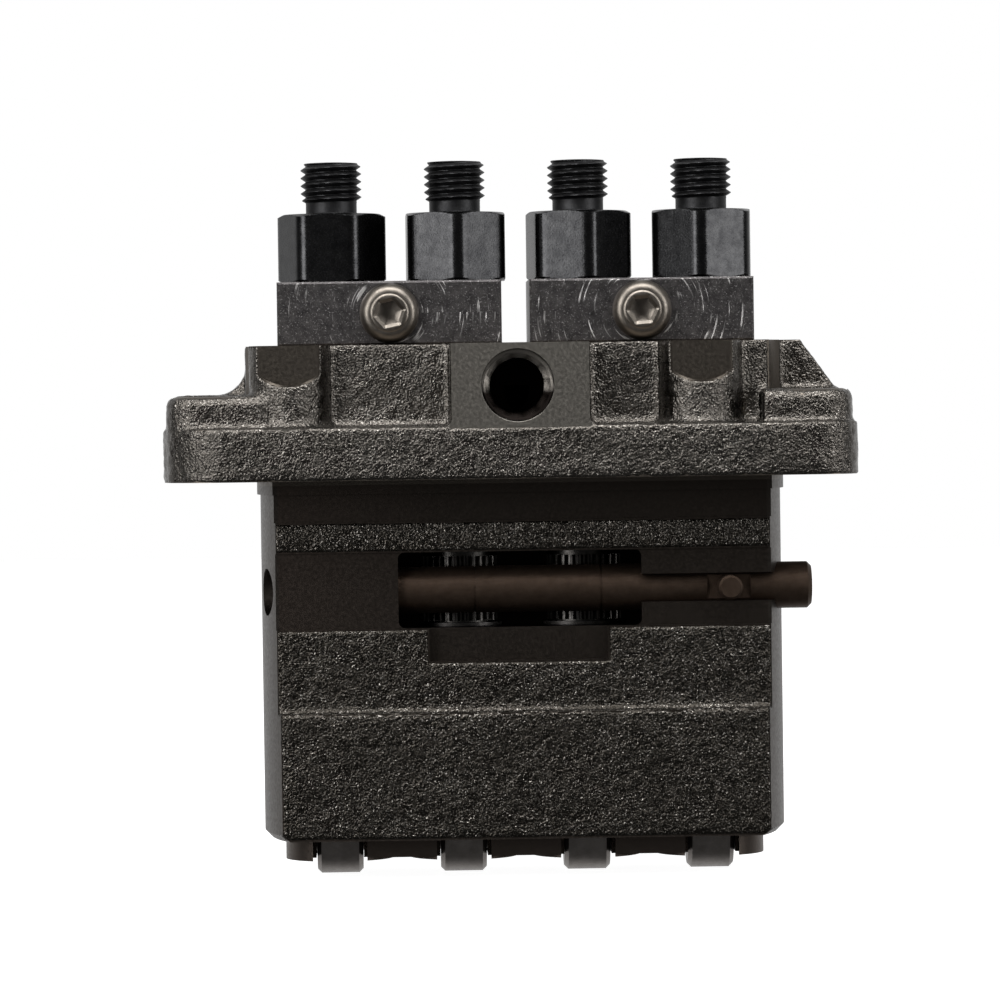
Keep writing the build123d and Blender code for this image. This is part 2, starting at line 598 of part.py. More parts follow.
# ---------------------------------------------------------------- delivery side
def make_holder(turn):
    """Delivery valve holder: threaded body, gripped collar, hexagon and outlet union."""
    groove = O_RING_GROOVE_HALF_HEIGHT
    shell = turned(
        [
            (HOLDER_CAVITY_RADIUS, HOLDER_BOTTOM),
            (HOLDER_RADIUS, HOLDER_BOTTOM),
            (HOLDER_RADIUS, O_RING_Z - groove),
            (HOLDER_RADIUS - 2 * O_RING_WIRE_RADIUS, O_RING_Z - groove),
            (HOLDER_RADIUS - 2 * O_RING_WIRE_RADIUS, O_RING_Z + groove),
            (HOLDER_RADIUS, O_RING_Z + groove),
            (HOLDER_RADIUS, HEAD_TOP),
            (COLLAR_RADIUS, HEAD_TOP),
            (COLLAR_RADIUS, HEX_BOTTOM),
            (COLLAR_RADIUS, HEX_TOP - HEX_CHAMFER),
            (NECK_RADIUS, HEX_TOP - HEX_CHAMFER),
            (NECK_RADIUS, NECK_TOP),
            (OUTLET_THREAD_RADIUS, NECK_TOP + OUTLET_THREAD_CHAMFER),
            (OUTLET_THREAD_RADIUS, OUTLET_TOP - OUTLET_THREAD_CHAMFER),
            (OUTLET_THREAD_RADIUS - OUTLET_THREAD_CHAMFER, OUTLET_TOP),
            (OUTLET_CONE_RADIUS, OUTLET_TOP),
            (OUTLET_PASSAGE_RADIUS, OUTLET_TOP - OUTLET_CONE_DEPTH),
            (OUTLET_PASSAGE_RADIUS, HOLDER_CAVITY_TOP),
            (HOLDER_CAVITY_RADIUS, HOLDER_CAVITY_TOP),
        ]
    )
    corner = HEX_CORNER_RADIUS
    round_off = turned(
        [
            (NECK_RADIUS - LOOSE, HEX_BOTTOM),
            (corner - HEX_CHAMFER, HEX_BOTTOM),
            (corner, HEX_BOTTOM + HEX_CHAMFER / 2),
            (corner, HEX_TOP - HEX_CHAMFER / 2),
            (corner - HEX_CHAMFER, HEX_TOP),
            (NECK_RADIUS - LOOSE, HEX_TOP),
        ]
    )
    return shell + (hexagon(HEX_ACROSS_FLATS, HEX_BOTTOM, HEX_TOP, turn) & round_off)


def make_o_ring():
    """An O-ring with a six-sided section, squeezed between its groove and the bore."""
    middle = HOLDER_RADIUS - O_RING_WIRE_RADIUS
    section = Plane.XZ * Pos(middle, O_RING_Z) * RegularPolygon(O_RING_WIRE_RADIUS, 6)
    return revolve(section, axis=Axis.Z)


def make_gasket():
    return ring(GASKET_RADIUS, GASKET_BORE, VALVE_SEAT_TOP, HOLDER_BOTTOM)


def make_valve_seat():
    return ring(BARREL_RADIUS, VALVE_BORE + LAPPED, BARREL_TOP, VALVE_SEAT_TOP)


def make_valve():
    """Delivery valve: fluted stem in the seat, head on it and a spigot in the spring."""
    stem = disc(VALVE_BORE, VALVE_SEAT_TOP - VALVE_STEM_LENGTH, VALVE_SEAT_TOP)
    flutes = [
        disc(
            VALVE_FLUTE_RADIUS,
            VALVE_SEAT_TOP - VALVE_STEM_LENGTH,
            VALVE_SEAT_TOP - VALVE_FLUTE_RADIUS,
            VALVE_BORE * cos(angle),
            VALVE_BORE * sin(angle),
        )
        for angle in (0, 2 * pi / 3, 4 * pi / 3)
    ]
    head_top = VALVE_SEAT_TOP + VALVE_HEAD_HEIGHT
    head = disc(VALVE_HEAD_RADIUS, VALVE_SEAT_TOP, head_top)
    spigot = disc(VALVE_SPIGOT_RADIUS, head_top, head_top + VALVE_SPIGOT_HEIGHT)
    return stem - flutes + head + spigot


def make_delivery_spring():
    bottom = VALVE_SEAT_TOP + VALVE_HEAD_HEIGHT
    return coil(
        DELIVERY_SPRING_MEAN, DELIVERY_SPRING_WIRE, bottom, HOLDER_CAVITY_TOP, DELIVERY_SPRING_TURNS
    )


# ---------------------------------------------------------------- pumping element
def make_barrel():
    shell = turned(
        [
            (PLUNGER_BORE, BARREL_TOP),
            (BARREL_RADIUS, BARREL_TOP),
            (BARREL_RADIUS, GALLERY_Z + BARREL_WAIST_HALF_HEIGHT),
            (BARREL_WAIST_RADIUS, GALLERY_Z + BARREL_WAIST_HALF_HEIGHT),
            (BARREL_WAIST_RADIUS, GALLERY_Z - BARREL_WAIST_HALF_HEIGHT),
            (BARREL_RADIUS, GALLERY_Z - BARREL_WAIST_HALF_HEIGHT),
            (BARREL_RADIUS, BARREL_SHOULDER),
            (BARREL_NECK_RADIUS, BARREL_SHOULDER),
            (BARREL_NECK_RADIUS, BARREL_NECK_BOTTOM),
            (BARREL_GUIDE_RADIUS, BARREL_NECK_BOTTOM),
            (BARREL_GUIDE_RADIUS, BARREL_BOTTOM),
            (PLUNGER_BORE, BARREL_BOTTOM),
        ]
    )
    port = rod_y(BARREL_PORT_RADIUS, -BARREL_RADIUS, BARREL_RADIUS, 0, GALLERY_Z)
    dowel_hole = disc(
        DOWEL_RADIUS + LOOSE, BARREL_SHOULDER, BARREL_SHOULDER + DOWEL_LENGTH / 2 + LOOSE, 0, DOWEL_REACH
    )
    return shell - port - dowel_hole


def make_dowel():
    half = DOWEL_LENGTH / 2
    return disc(DOWEL_RADIUS, BARREL_SHOULDER - half, BARREL_SHOULDER + half, 0, DOWEL_REACH)


def make_plunger():
    """Plunger: metering groove at the top, two driving arms and a foot."""
    rod = disc(PLUNGER_RADIUS, SHIM_TOP, PLUNGER_TOP)
    foot = disc(PLUNGER_FOOT_RADIUS, SHIM_TOP, FOOT_TOP)
    arms = block(
        -PLUNGER_ARM_HALF_LENGTH,
        PLUNGER_ARM_HALF_LENGTH,
        -PLUNGER_ARM_HALF_WIDTH,
        PLUNGER_ARM_HALF_WIDTH,
        PLUNGER_ARM_BOTTOM,
        PLUNGER_ARM_BOTTOM + PLUNGER_ARM_HEIGHT,
    )
    drain = disc(PLUNGER_GROOVE_WIDTH, PLUNGER_TOP - PLUNGER_HELIX_RISE, PLUNGER_TOP, 0, -PLUNGER_RADIUS)
    edge = Plane.YZ * make_face(
        Polyline(
            (-PLUNGER_RADIUS, PLUNGER_TOP - PLUNGER_GROOVE_WIDTH),
            (0, PLUNGER_TOP - PLUNGER_HELIX_RISE / 2),
            (0, PLUNGER_TOP - PLUNGER_HELIX_RISE),
            (-PLUNGER_RADIUS, PLUNGER_TOP - PLUNGER_HELIX_RISE),
            close=True,
        )
    )
    relief = extrude(edge, PLUNGER_RADIUS, both=True)
    relief -= disc(PLUNGER_RADIUS - PLUNGER_GROOVE_WIDTH, PLUNGER_TOP - BEYOND, PLUNGER_TOP)
    return rod + foot + arms - drain - relief


def tooth_outline(root, tip, thickness):
    """Corners of one straight-flanked tooth on a pinion, centred on the angle 0."""
    half_root = thickness / 2 + DEDENDUM * tan(FLANK_ANGLE)
    half_tip = thickness / 2 - ADDENDUM * tan(FLANK_ANGLE)
    return [(root, -half_root), (tip, -half_tip), (tip, half_tip), (root, half_root)]


def pinion_outline():
    """The pinion's outline, with a tooth space towards the rack."""
    thickness = TOOTH_SHARE * TOOTH_PITCH
    corners = []
    for tooth in range(PINION_TEETH):
        angle = -pi / 2 + (tooth + 0.5) * 2 * pi / PINION_TEETH
        for reach, side in tooth_outline(PINION_RADIUS - DEDENDUM, PINION_TIP, thickness):
            corners.append((reach * cos(angle) - side * sin(angle), reach * sin(angle) + side * cos(angle)))
    return make_face(Polyline(*corners, close=True))


def make_sleeve():
    """Control sleeve: a slotted tube with the rack's pinion round its upper half."""
    tube = disc(SLEEVE_RADIUS, SLEEVE_BOTTOM, SLEEVE_TOP)
    gear = Pos(0, 0, PINION_BOTTOM) * extrude(pinion_outline(), PINION_FACE)
    slots = block(
        -SLEEVE_RADIUS,
        SLEEVE_RADIUS,
        -SLEEVE_SLOT_HALF_WIDTH,
        SLEEVE_SLOT_HALF_WIDTH,
        SLEEVE_BOTTOM,
        SLEEVE_SLOT_TOP,
    )
    return tube + gear - disc(SLEEVE_BORE, SLEEVE_BOTTOM, SLEEVE_TOP) - slots


def tooth_space(x):
    """One gap between two teeth of the rack, cut right across the rod."""
    thickness = (1 - TOOTH_SHARE) * TOOTH_PITCH
    pitch_line = -PINION_RADIUS
    half_root = thickness / 2 - DEDENDUM * tan(FLANK_ANGLE)
    half_tip = thickness / 2 + ADDENDUM * tan(FLANK_ANGLE)
    outline = Polyline(
        (x - half_root, pitch_line - DEDENDUM),
        (x - half_tip, pitch_line + ADDENDUM),
        (x + half_tip, pitch_line + ADDENDUM),
        (x + half_root, pitch_line - DEDENDUM),
        close=True,
    )
    return Pos(0, 0, RACK_Z - RACK_RADIUS) * extrude(make_face(outline), 2 * RACK_RADIUS)


def rack_line(x):
    """A shallow groove turned round the rod."""
    left = x - RACK_LINE_WIDTH / 2
    right = x + RACK_LINE_WIDTH / 2
    band = rod_x(RACK_RADIUS + LOOSE, left, right, RACK_Y, RACK_Z)
    return band - rod_x(RACK_RADIUS - RACK_LINE_DEPTH, left, right, RACK_Y, RACK_Z)


def make_rack():
    """Control rack: a round rod with a row of teeth cut into its back for each element."""
    rod = rod_x(RACK_RADIUS, RACK_LEFT, RACK_RIGHT, RACK_Y, RACK_Z)
    rod = chamfer(rod.edges().filter_by(GeomType.CIRCLE), RACK_END_CHAMFER)
    half_row = (RACK_TEETH_PER_ELEMENT + 1) * TOOTH_PITCH / 2
    tip_plane = -PINION_RADIUS + ADDENDUM
    rod -= block(-BEYOND, STATIONS[-1] + half_row, tip_plane, BEYOND, -BEYOND, BEYOND)
    spaces = []
    for x in STATIONS:
        for tooth in range(RACK_TEETH_PER_ELEMENT + 1):
            place = x + (tooth - RACK_TEETH_PER_ELEMENT / 2) * TOOTH_PITCH
            spaces.append(tooth_space(place))
    flat = block(
        RACK_PIN_X - RACK_FLAT_HALF_WIDTH,
        RACK_PIN_X + RACK_FLAT_HALF_WIDTH,
        -BEYOND,
        RACK_FLAT_Y,
        -BEYOND,
        BEYOND,
    )
    pin_hole = rod_y(RACK_PIN_SHANK + PRESSED, -BEYOND, RACK_Y + RACK_PIN_SINK, RACK_PIN_X, RACK_Z)
    lines = [rack_line(x) for x in RACK_LINES]
    return rod - spaces - flat - pin_hole - lines


def make_rack_pin():
    """The pin that the governor's lever moves: a head in front of the rod, a shank pressed into it."""
    head = rod_y(
        RACK_PIN_RADIUS, RACK_Y - RACK_PIN_REACH, RACK_FLAT_Y - RACK_PIN_UNDERCUT, RACK_PIN_X, RACK_Z
    )
    outer_end = head.edges().filter_by(GeomType.CIRCLE).sort_by(Axis.Y)[0]
    head = chamfer(outer_end, RACK_PIN_CHAMFER)
    return head + rod_y(RACK_PIN_SHANK, RACK_Y - RACK_RADIUS, RACK_Y + RACK_PIN_SINK, RACK_PIN_X, RACK_Z)


# ---------------------------------------------------------------- springs, tappets and rollers
def make_upper_seat():
    return ring(RING_RADIUS, SLEEVE_RADIUS + FIT, UPPER_SEAT_BOTTOM, UPPER_SEAT_TOP)


def make_plunger_spring():
    return coil(SPRING_MEAN, SPRING_WIRE, LOWER_SEAT_TOP, UPPER_SEAT_BOTTOM, SPRING_TURNS)


def make_lower_seat():
    """Lower spring seat: it slips sideways over the plunger's neck and rests on its foot."""
    plate = ring(RING_RADIUS, PLUNGER_BORE, FOOT_TOP, LOWER_SEAT_TOP)
    keyway = block(0, RING_RADIUS, -PLUNGER_BORE, PLUNGER_BORE, FOOT_TOP, LOWER_SEAT_TOP)
    return plate - keyway


def make_shim():
    return disc(SHIM_RADIUS, TAPPET_WEB_TOP, SHIM_TOP)


def make_tappet():
    """Roller tappet: cup above, fork for the roller below, and a groove that its guide pin stops."""
    solid = disc(TAPPET_RADIUS, TAPPET_BOTTOM, TAPPET_TOP)
    cup = disc(TAPPET_RADIUS - TAPPET_RIM_WALL, TAPPET_WEB_TOP, TAPPET_TOP)
    half_gap = ROLLER_WIDTH / 2 + ROLLER_SIDE_GAP
    fork = block(-half_gap, half_gap, -BEYOND, BEYOND, TAPPET_BOTTOM, TAPPET_WEB_BOTTOM)
    pin_hole = rod_x(ROLLER_PIN_RADIUS + PRESSED, -TAPPET_RADIUS, TAPPET_RADIUS, 0, ROLLER_Z)
    half_groove = GUIDE_PIN_RADIUS + FIT
    groove_floor = TAPPET_RADIUS - TAPPET_GROOVE_DEPTH
    groove = block(-half_groove, half_groove, groove_floor, BEYOND, TAPPET_BOTTOM, GUIDE_PIN_Z)
    groove += rod_y(half_groove, groove_floor, BEYOND, 0, GUIDE_PIN_Z)
    return solid - cup - fork - pin_hole - groove


def make_roller():
    half = ROLLER_WIDTH / 2
    roller = rod_x(ROLLER_RADIUS, -half, half, 0, ROLLER_Z)
    roller = chamfer(roller.edges().filter_by(GeomType.CIRCLE), ROLLER_CHAMFER)
    return roller - rod_x(ROLLER_PIN_RADIUS + FIT, -half, half, 0, ROLLER_Z)


def make_roller_pin():
    return rod_x(ROLLER_PIN_RADIUS, -ROLLER_PIN_HALF_LENGTH, ROLLER_PIN_HALF_LENGTH, 0, ROLLER_Z)


def make_guide_pin():
    inner_end = TAPPET_RADIUS - TAPPET_GROOVE_DEPTH + SEAT_GAP
    return rod_y(GUIDE_PIN_RADIUS, inner_end, PANEL_HALF_DEPTH, 0, GUIDE_PIN_Z)


# ---------------------------------------------------------------- clamps and plug
def clamp_pairs():
    """The collars that each clamp grips, two by two, each pair with the place of its screw."""
    pairs = [STATIONS[first : first + 2] for first in range(0, ELEMENTS, 2)]
    return [(pair, sum(pair) / len(pair) + shift) for pair, shift in zip(pairs, CLAMP_SHIFTS)]


def make_jaw(pair, middle, front):
    """One jaw of a clamp, in front of the collars or behind them."""
    left = middle - CLAMP_LENGTH / 2
    near, far = (-CLAMP_HALF_DEPTH, -CLAMP_SPLIT) if front else (CLAMP_SPLIT, CLAMP_HALF_DEPTH)
    jaw = block(left, left + CLAMP_LENGTH, near, far, HEAD_TOP, HEX_BOTTOM)
    outside = jaw.faces().sort_by(Axis.Y)[0 if front else -1]
    jaw = chamfer(outside.edges(), CLAMP_CHAMFER)
    grips = [disc(CLAMP_GRIP, HEAD_TOP, HEX_BOTTOM, x) for x in pair]
    hole = SCREW_RADIUS + (SCREW_HOLE_GAP if front else PRESSED)
    return jaw - grips - rod_y(hole, -CLAMP_HALF_DEPTH, CLAMP_HALF_DEPTH, middle, SCREW_Z)


def make_clamp_screw(middle):
    """Domed socket screw that draws two jaws together."""
    head_base = SCREW_HEAD_RADIUS
    dome_radius = (head_base**2 + SCREW_HEAD_HEIGHT**2) / (2 * SCREW_HEAD_HEIGHT)
    dome = Pos(0, 0, SCREW_HEAD_HEIGHT - dome_radius) * Sphere(dome_radius)
    head = dome & disc(head_base, 0, SCREW_HEAD_HEIGHT)
    head += disc(head_base - SCREW_EDGE_HEIGHT / 2, 0, SCREW_EDGE_HEIGHT)
    socket = hexagon(
        SCREW_SOCKET_ACROSS_FLATS, SCREW_HEAD_HEIGHT - SCREW_SOCKET_DEPTH, SCREW_HEAD_HEIGHT
    )
    screw = head + disc(SCREW_RADIUS, -SCREW_LENGTH, 0) - socket
    return Pos(middle, -CLAMP_HALF_DEPTH, SCREW_Z) * Rot(90, 0, 0) * screw


def make_gallery_plug():
    left = FLANGE_RIGHT - GALLERY_PLUG_LENGTH
    plug = rod_x(GALLERY_PLUG_RADIUS, left, FLANGE_RIGHT, GALLERY_Y, GALLERY_Z)
    socket = hexagon(PLUG_SOCKET_ACROSS_FLATS, 0, PLUG_SOCKET_DEPTH)
    socket = Pos(FLANGE_RIGHT - PLUG_SOCKET_DEPTH, GALLERY_Y, GALLERY_Z) * Rot(0, 90, 0) * socket
    return plug - socket


# ---------------------------------------------------------------- the nodes
def nodes():
    """Every node of the pump by name."""
    made = {"pump_housing": make_housing()}
    each = {
        "delivery_valve": make_valve(),
        "delivery_spring": make_delivery_spring(),
        "control_sleeve": make_sleeve(),
        "plunger": make_plunger(),
        "plunger_spring": make_plunger_spring(),
        "lower_spring_seat": make_lower_seat(),
        "tappet_shim": make_shim(),
        "tappet_body": make_tappet(),
        "tappet_roller": make_roller(),
        "roller_pin": make_roller_pin(),
    }
    for number, x in enumerate(STATIONS, start=1):
        made[f"delivery_holder_{number}"] = Pos(x, 0, 0) * make_holder(HEX_TURNS[number - 1])
        for name, piece in each.items():
            made[f"{name}_{number}"] = Pos(x, 0, 0) * piece
    sets = {
        "holder_o_rings": make_o_ring(),
        "valve_gaskets": make_gasket(),
        "valve_seats": make_valve_seat(),
        "plunger_barrels": make_barrel(),
        "barrel_dowels": make_dowel(),
        "upper_spring_seats": make_upper_seat(),
        "tappet_guide_pins": make_guide_pin(),
    }
    for name, piece in sets.items():
        made[name] = group(at_stations(piece))
    made["control_rack"] = make_rack()
    made["rack_pin"] = make_rack_pin()
    for number, (pair, middle) in enumerate(clamp_pairs(), start=1):
        made[f"clamp_jaw_front_{number}"] = make_jaw(pair, middle, True)
        made[f"clamp_jaw_rear_{number}"] = make_jaw(pair, middle, False)
    made["clamp_screws"] = group([make_clamp_screw(middle) for _, middle in clamp_pairs()])
    made["gallery_plug"] = make_gallery_plug()
    return made


os.makedirs("parts", exist_ok=True)
for node, shape in nodes().items():
    export_step(shape, f"parts/{node}.step")
    print(node)
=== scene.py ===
# %% [markdown]
# # A diesel injection pump, dressed for its portrait
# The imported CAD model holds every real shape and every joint. This script adds what a
# casting, a thread, a coil spring and a scratched black finish look like, then lights it all.
# It never moves a CAD piece: it gives it a finish, lays a skin over it, or stands a more
# detailed mesh in its place.

# %% Tools and the frame
import json
from math import cos, pi, radians, sin, sqrt

import bpy
import numpy as np
from mathutils import Matrix, Vector, noise


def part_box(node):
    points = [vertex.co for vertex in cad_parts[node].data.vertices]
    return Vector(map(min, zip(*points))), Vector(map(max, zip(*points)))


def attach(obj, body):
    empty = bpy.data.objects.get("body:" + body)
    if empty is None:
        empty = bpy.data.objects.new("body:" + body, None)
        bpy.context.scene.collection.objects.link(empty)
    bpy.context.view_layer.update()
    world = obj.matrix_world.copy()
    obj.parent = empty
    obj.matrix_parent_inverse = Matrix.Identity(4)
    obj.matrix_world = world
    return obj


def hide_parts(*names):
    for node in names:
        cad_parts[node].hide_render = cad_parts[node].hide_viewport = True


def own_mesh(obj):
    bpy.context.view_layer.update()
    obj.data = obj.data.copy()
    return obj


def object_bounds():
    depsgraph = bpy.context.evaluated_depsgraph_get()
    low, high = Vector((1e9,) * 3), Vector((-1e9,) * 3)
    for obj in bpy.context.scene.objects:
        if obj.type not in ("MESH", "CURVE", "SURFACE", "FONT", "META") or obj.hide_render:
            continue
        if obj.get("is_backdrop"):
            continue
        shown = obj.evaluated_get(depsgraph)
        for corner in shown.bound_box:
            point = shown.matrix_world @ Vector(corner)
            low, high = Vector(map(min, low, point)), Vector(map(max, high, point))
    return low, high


MM = 0.001  # Blender counts in metres, and this pump is easier to describe in millimetres
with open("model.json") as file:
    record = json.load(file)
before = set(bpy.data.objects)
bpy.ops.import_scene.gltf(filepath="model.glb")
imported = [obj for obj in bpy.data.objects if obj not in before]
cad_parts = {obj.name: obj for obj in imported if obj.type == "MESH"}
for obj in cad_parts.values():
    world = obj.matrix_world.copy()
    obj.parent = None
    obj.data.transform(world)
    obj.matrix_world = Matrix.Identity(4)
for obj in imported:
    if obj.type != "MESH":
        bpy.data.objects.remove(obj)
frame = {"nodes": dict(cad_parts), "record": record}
nodes = frame["nodes"]
cad_box = [list(corner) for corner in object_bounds()]
print("CAD box in mm:", [[round(value / MM, 1) for value in corner] for corner in cad_box])

# %% [markdown]
# ## The camera
# A catalogue picture of a machine part looks flat and square. A wide lens close by would show
# more of the pump's top, but it would bend its outline, so this is a long lens a metre away.
# The camera stands a little to the left of the middle and a little above it, and it is turned
# about its own line of sight, so that the pump leans by less than a degree.

# %% The camera
CAMERA_DISTANCE = 1.0
CAMERA_LENS = 184.6
SENSOR_WIDTH = 36.0
CAMERA_AIM = Vector((-3.95, 0.0, -4.6)) * MM
CAMERA_YAW = radians(-1.2)
CAMERA_RISE = radians(1.15)
CAMERA_ROLL = radians(-0.8)


def place_camera():
    """A camera that looks along +Y at the aim point, turned by the yaw, the rise and the roll."""
    data = bpy.data.cameras.new("portrait_camera")
    data.lens = CAMERA_LENS
    data.sensor_width = SENSOR_WIDTH
    camera = bpy.data.objects.new("portrait_camera", data)
    bpy.context.scene.collection.objects.link(camera)
    level = cos(CAMERA_RISE)
    back = Vector((sin(CAMERA_YAW) * level, -cos(CAMERA_YAW) * level, sin(CAMERA_RISE)))
    upright = (-back).to_track_quat("-Z", "Y").to_matrix().to_4x4()
    spin = Matrix.Rotation(CAMERA_ROLL, 4, "Z")
    camera.matrix_world = Matrix.Translation(CAMERA_AIM + back * CAMERA_DISTANCE) @ upright @ spin
    bpy.context.scene.camera = camera
    return camera


camera = place_camera()
print("camera at", [round(value, 3) for value in camera.location])

# %% [markdown]
# ## The floor
# The pump stands on white paper. A white sheet lit by the lamps alone would turn grey in the
# pump's shadow, so this one also glows a little. It is kept out of reflections, because the
# rollers and the undersides would otherwise mirror a white floor and turn pale.

# %% The floor
FLOOR_SIZE = 4.0
FLOOR_DROP = 0.3 * MM
FLOOR_GREY = (0.4, 0.4, 0.4, 1.0)
FLOOR_GLOW = 0.93


def floor_paint():
    """Matt paint that also gives off light, so that it stays white in the shadow."""
    paint = bpy.data.materials.new("floor_paint")
    paint.use_nodes = True
    shader = paint.node_tree.nodes["Principled BSDF"]
    shader.inputs["Base Color"].default_value = FLOOR_GREY
    shader.inputs["Roughness"].default_value = 0.8
    shader.inputs["Specular IOR Level"].default_value = 0.2
    shader.inputs["Emission Color"].default_value = (1.0, 1.0, 1.0, 1.0)
    shader.inputs["Emission Strength"].default_value = FLOOR_GLOW
    return paint


def pale_floor():
    """A wide pale sheet just under the lowest point of the pump."""
    level = cad_box[0][2] - FLOOR_DROP
    half = FLOOR_SIZE / 2
    around = ((-half, -half), (half, -half), (half, half), (-half, half))
    corners = [(x, y, level) for x, y in around]
    mesh = bpy.data.meshes.new("pale_floor")
    mesh.from_pydata(corners, [], [(0, 1, 2, 3)])
    mesh.materials.append(floor_paint())
    floor = bpy.data.objects.new("pale_floor", mesh)
    bpy.context.scene.collection.objects.link(floor)
    floor.visible_glossy = False
    floor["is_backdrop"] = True
    return level


print("floor at", round(pale_floor() / MM, 2), "mm")

# %% [markdown]
# ## The light
# Black metal shows nothing of its own: it shows what stands around it. One bright lamp at the
# camera would only make white spots. Here the room is pale behind the pump and dim in front,
# so that the faces turned to the viewer stay dark and those turned to the side grow light. Two
# tall soft boxes, well out to the sides but in front, draw a grey sheen on the hexagons'
# slanting flats and a glint on each grain of the castings. A broad one lights the tops.

# %% The room
ROOM_DIM = 0.1
ROOM_PALE = 0.75
DIM_UNTIL = -0.1  # how far back a direction points, as a share, before the room grows paler
PALE_FROM = 0.6


def room():
    """A room that is white to the camera and, to the metal, dim in front and pale behind."""
    world = bpy.data.worlds.new("white_studio")
    world.use_nodes = True
    tree = world.node_tree
    paper = tree.nodes["Background"]
    paper.inputs["Color"].default_value = (1.0, 1.0, 1.0, 1.0)
    way = tree.nodes.new("ShaderNodeTexCoord")
    parts = tree.nodes.new("ShaderNodeSeparateXYZ")
    tree.links.new(way.outputs["Generated"], parts.inputs["Vector"])
    depth = tree.nodes.new("ShaderNodeMapRange")
    depth.interpolation_type = "SMOOTHSTEP"
    limits = {"From Min": DIM_UNTIL, "From Max": PALE_FROM, "To Min": ROOM_DIM, "To Max": ROOM_PALE}
    for name, number in limits.items():
        depth.inputs[name].default_value = number
    tree.links.new(parts.outputs["Y"], depth.inputs["Value"])
    seen = tree.nodes.new("ShaderNodeLightPath")
    brighter = tree.nodes.new("ShaderNodeMath")
    brighter.operation = "MAXIMUM"
    tree.links.new(depth.outputs["Result"], brighter.inputs[0])
    tree.links.new(seen.outputs["Is Camera Ray"], brighter.inputs[1])
    tree.links.new(brighter.outputs["Value"], paper.inputs["Strength"])
    bpy.context.scene.world = world
    bpy.context.scene.view_settings.view_transform = "Standard"
    return world


print("room nodes:", len(room().node_tree.nodes))

# %% The soft boxes
LEFT_TURN = -46.0  # degrees between the viewer and each side box, seen from the pump
RIGHT_TURN = 57.0
BOX_DISTANCE = 1.0
BOX_RISE = 0.29
TOP_PLACE = (0.0, -0.42, 0.85)


def beside(turn):
    """A place for a side box, turned so many degrees to the right of the viewer."""
    return (BOX_DISTANCE * sin(radians(turn)), -BOX_DISTANCE * cos(radians(turn)), BOX_RISE)


def soft_box(name, place, width, height, watts):
    """A rectangular lamp that faces the middle of the pump."""
    lamp = bpy.data.lights.new(name, "AREA")
    lamp.shape = "RECTANGLE"
    lamp.size = width
    lamp.size_y = height
    lamp.energy = watts
    holder = bpy.data.objects.new(name, lamp)
    bpy.context.scene.collection.objects.link(holder)
    holder.location = place
    holder.rotation_mode = "QUATERNION"
    holder.rotation_quaternion = (-Vector(place)).to_track_quat("-Z", "Y")


soft_box("left_soft_box", beside(LEFT_TURN), width=0.46, height=0.82, watts=8.0)
soft_box("right_soft_box", beside(RIGHT_TURN), width=0.36, height=0.82, watts=5.0)
soft_box("top_soft_box", TOP_PLACE, width=1.1, height=0.5, watts=15.0)
print("soft boxes:", {lamp.name: lamp.energy for lamp in bpy.data.lights})

# %% [markdown]
# ## Finishes
# A finish could be a painted picture wrapped round the piece, but it would stretch over the
# threads and blur close up. Each finish here is a small network of noise patterns, read at
# the point's own place, which feeds one physically based shader. All the metal is fully
# metallic and dark, because it is blackened or oiled. What makes one finish differ from
# another is how rough it is, and how large and how steep its relief is: coarse steep grains
# break the light into sparks, fine shallow ones only blur it.


# %% The start of a finish, and where a point of it is
def new_finish(name):
    """An empty metal: the material, its node tree, its shader and places in metres."""
    material = bpy.data.materials.new(name)
    material.use_nodes = True
    tree = material.node_tree
    shader = tree.nodes["Principled BSDF"]
    shader.inputs["Metallic"].default_value = 1.0
    place = tree.nodes.new("ShaderNodeTexCoord").outputs["Object"]
    return material, tree, shader, place


def sides_of(tree, place):
    """The distances along X, Y and Z, in metres, as three numbers."""
    parts = tree.nodes.new("ShaderNodeSeparateXYZ")
    tree.links.new(place, parts.inputs["Vector"])
    return parts.outputs


# %% Noise, and numbers made from it
MOST_NOISE = (0.3, 0.7)  # nearly all noise lies between these


def grain(tree, place, size, detail=2.0, rough=0.5):
    """Noise whose lumps are about one size across, in metres."""
    pattern = tree.nodes.new("ShaderNodeTexNoise")
    pattern.inputs["Scale"].default_value = 1.0 / size
    pattern.inputs["Detail"].default_value = detail
    pattern.inputs["Roughness"].default_value = rough
    tree.links.new(place, pattern.inputs["Vector"])
    return pattern.outputs["Fac"]


def ramp(tree, value, start, end, low=0.0, high=1.0):
    """Turns a pattern into a number that runs from low to high between start and end."""
    spread = tree.nodes.new("ShaderNodeMapRange")
    limits = {"From Min": start, "From Max": end, "To Min": low, "To Max": high}
    for name, number in limits.items():
        spread.inputs[name].default_value = number
    tree.links.new(value, spread.inputs["Value"])
    return spread.outputs["Result"]


def joined(tree, operation, first, second=0.0):
    """One number from two, or from a number and a constant: MULTIPLY, ADD, MAXIMUM and so on."""
    node = tree.nodes.new("ShaderNodeMath")
    node.operation = operation
    for socket, value in zip(node.inputs, (first, second)):
        if isinstance(value, (int, float)):
            socket.default_value = value
        else:
            tree.links.new(value, socket)
    return node.outputs["Value"]


# %% Colours and relief
def tint(tree, value, dark, light):
    """Turns a number from 0 to 1 into a colour between two colours, or between two patterns."""
    mix = tree.nodes.new("ShaderNodeMix")
    mix.data_type = "RGBA"
    for socket, colour in ((mix.inputs[6], dark), (mix.inputs[7], light)):
        if isinstance(colour, tuple):
            socket.default_value = (*colour, 1.0)
        else:
            tree.links.new(colour, socket)
    tree.links.new(value, mix.inputs["Factor"])
    return mix.outputs[2]


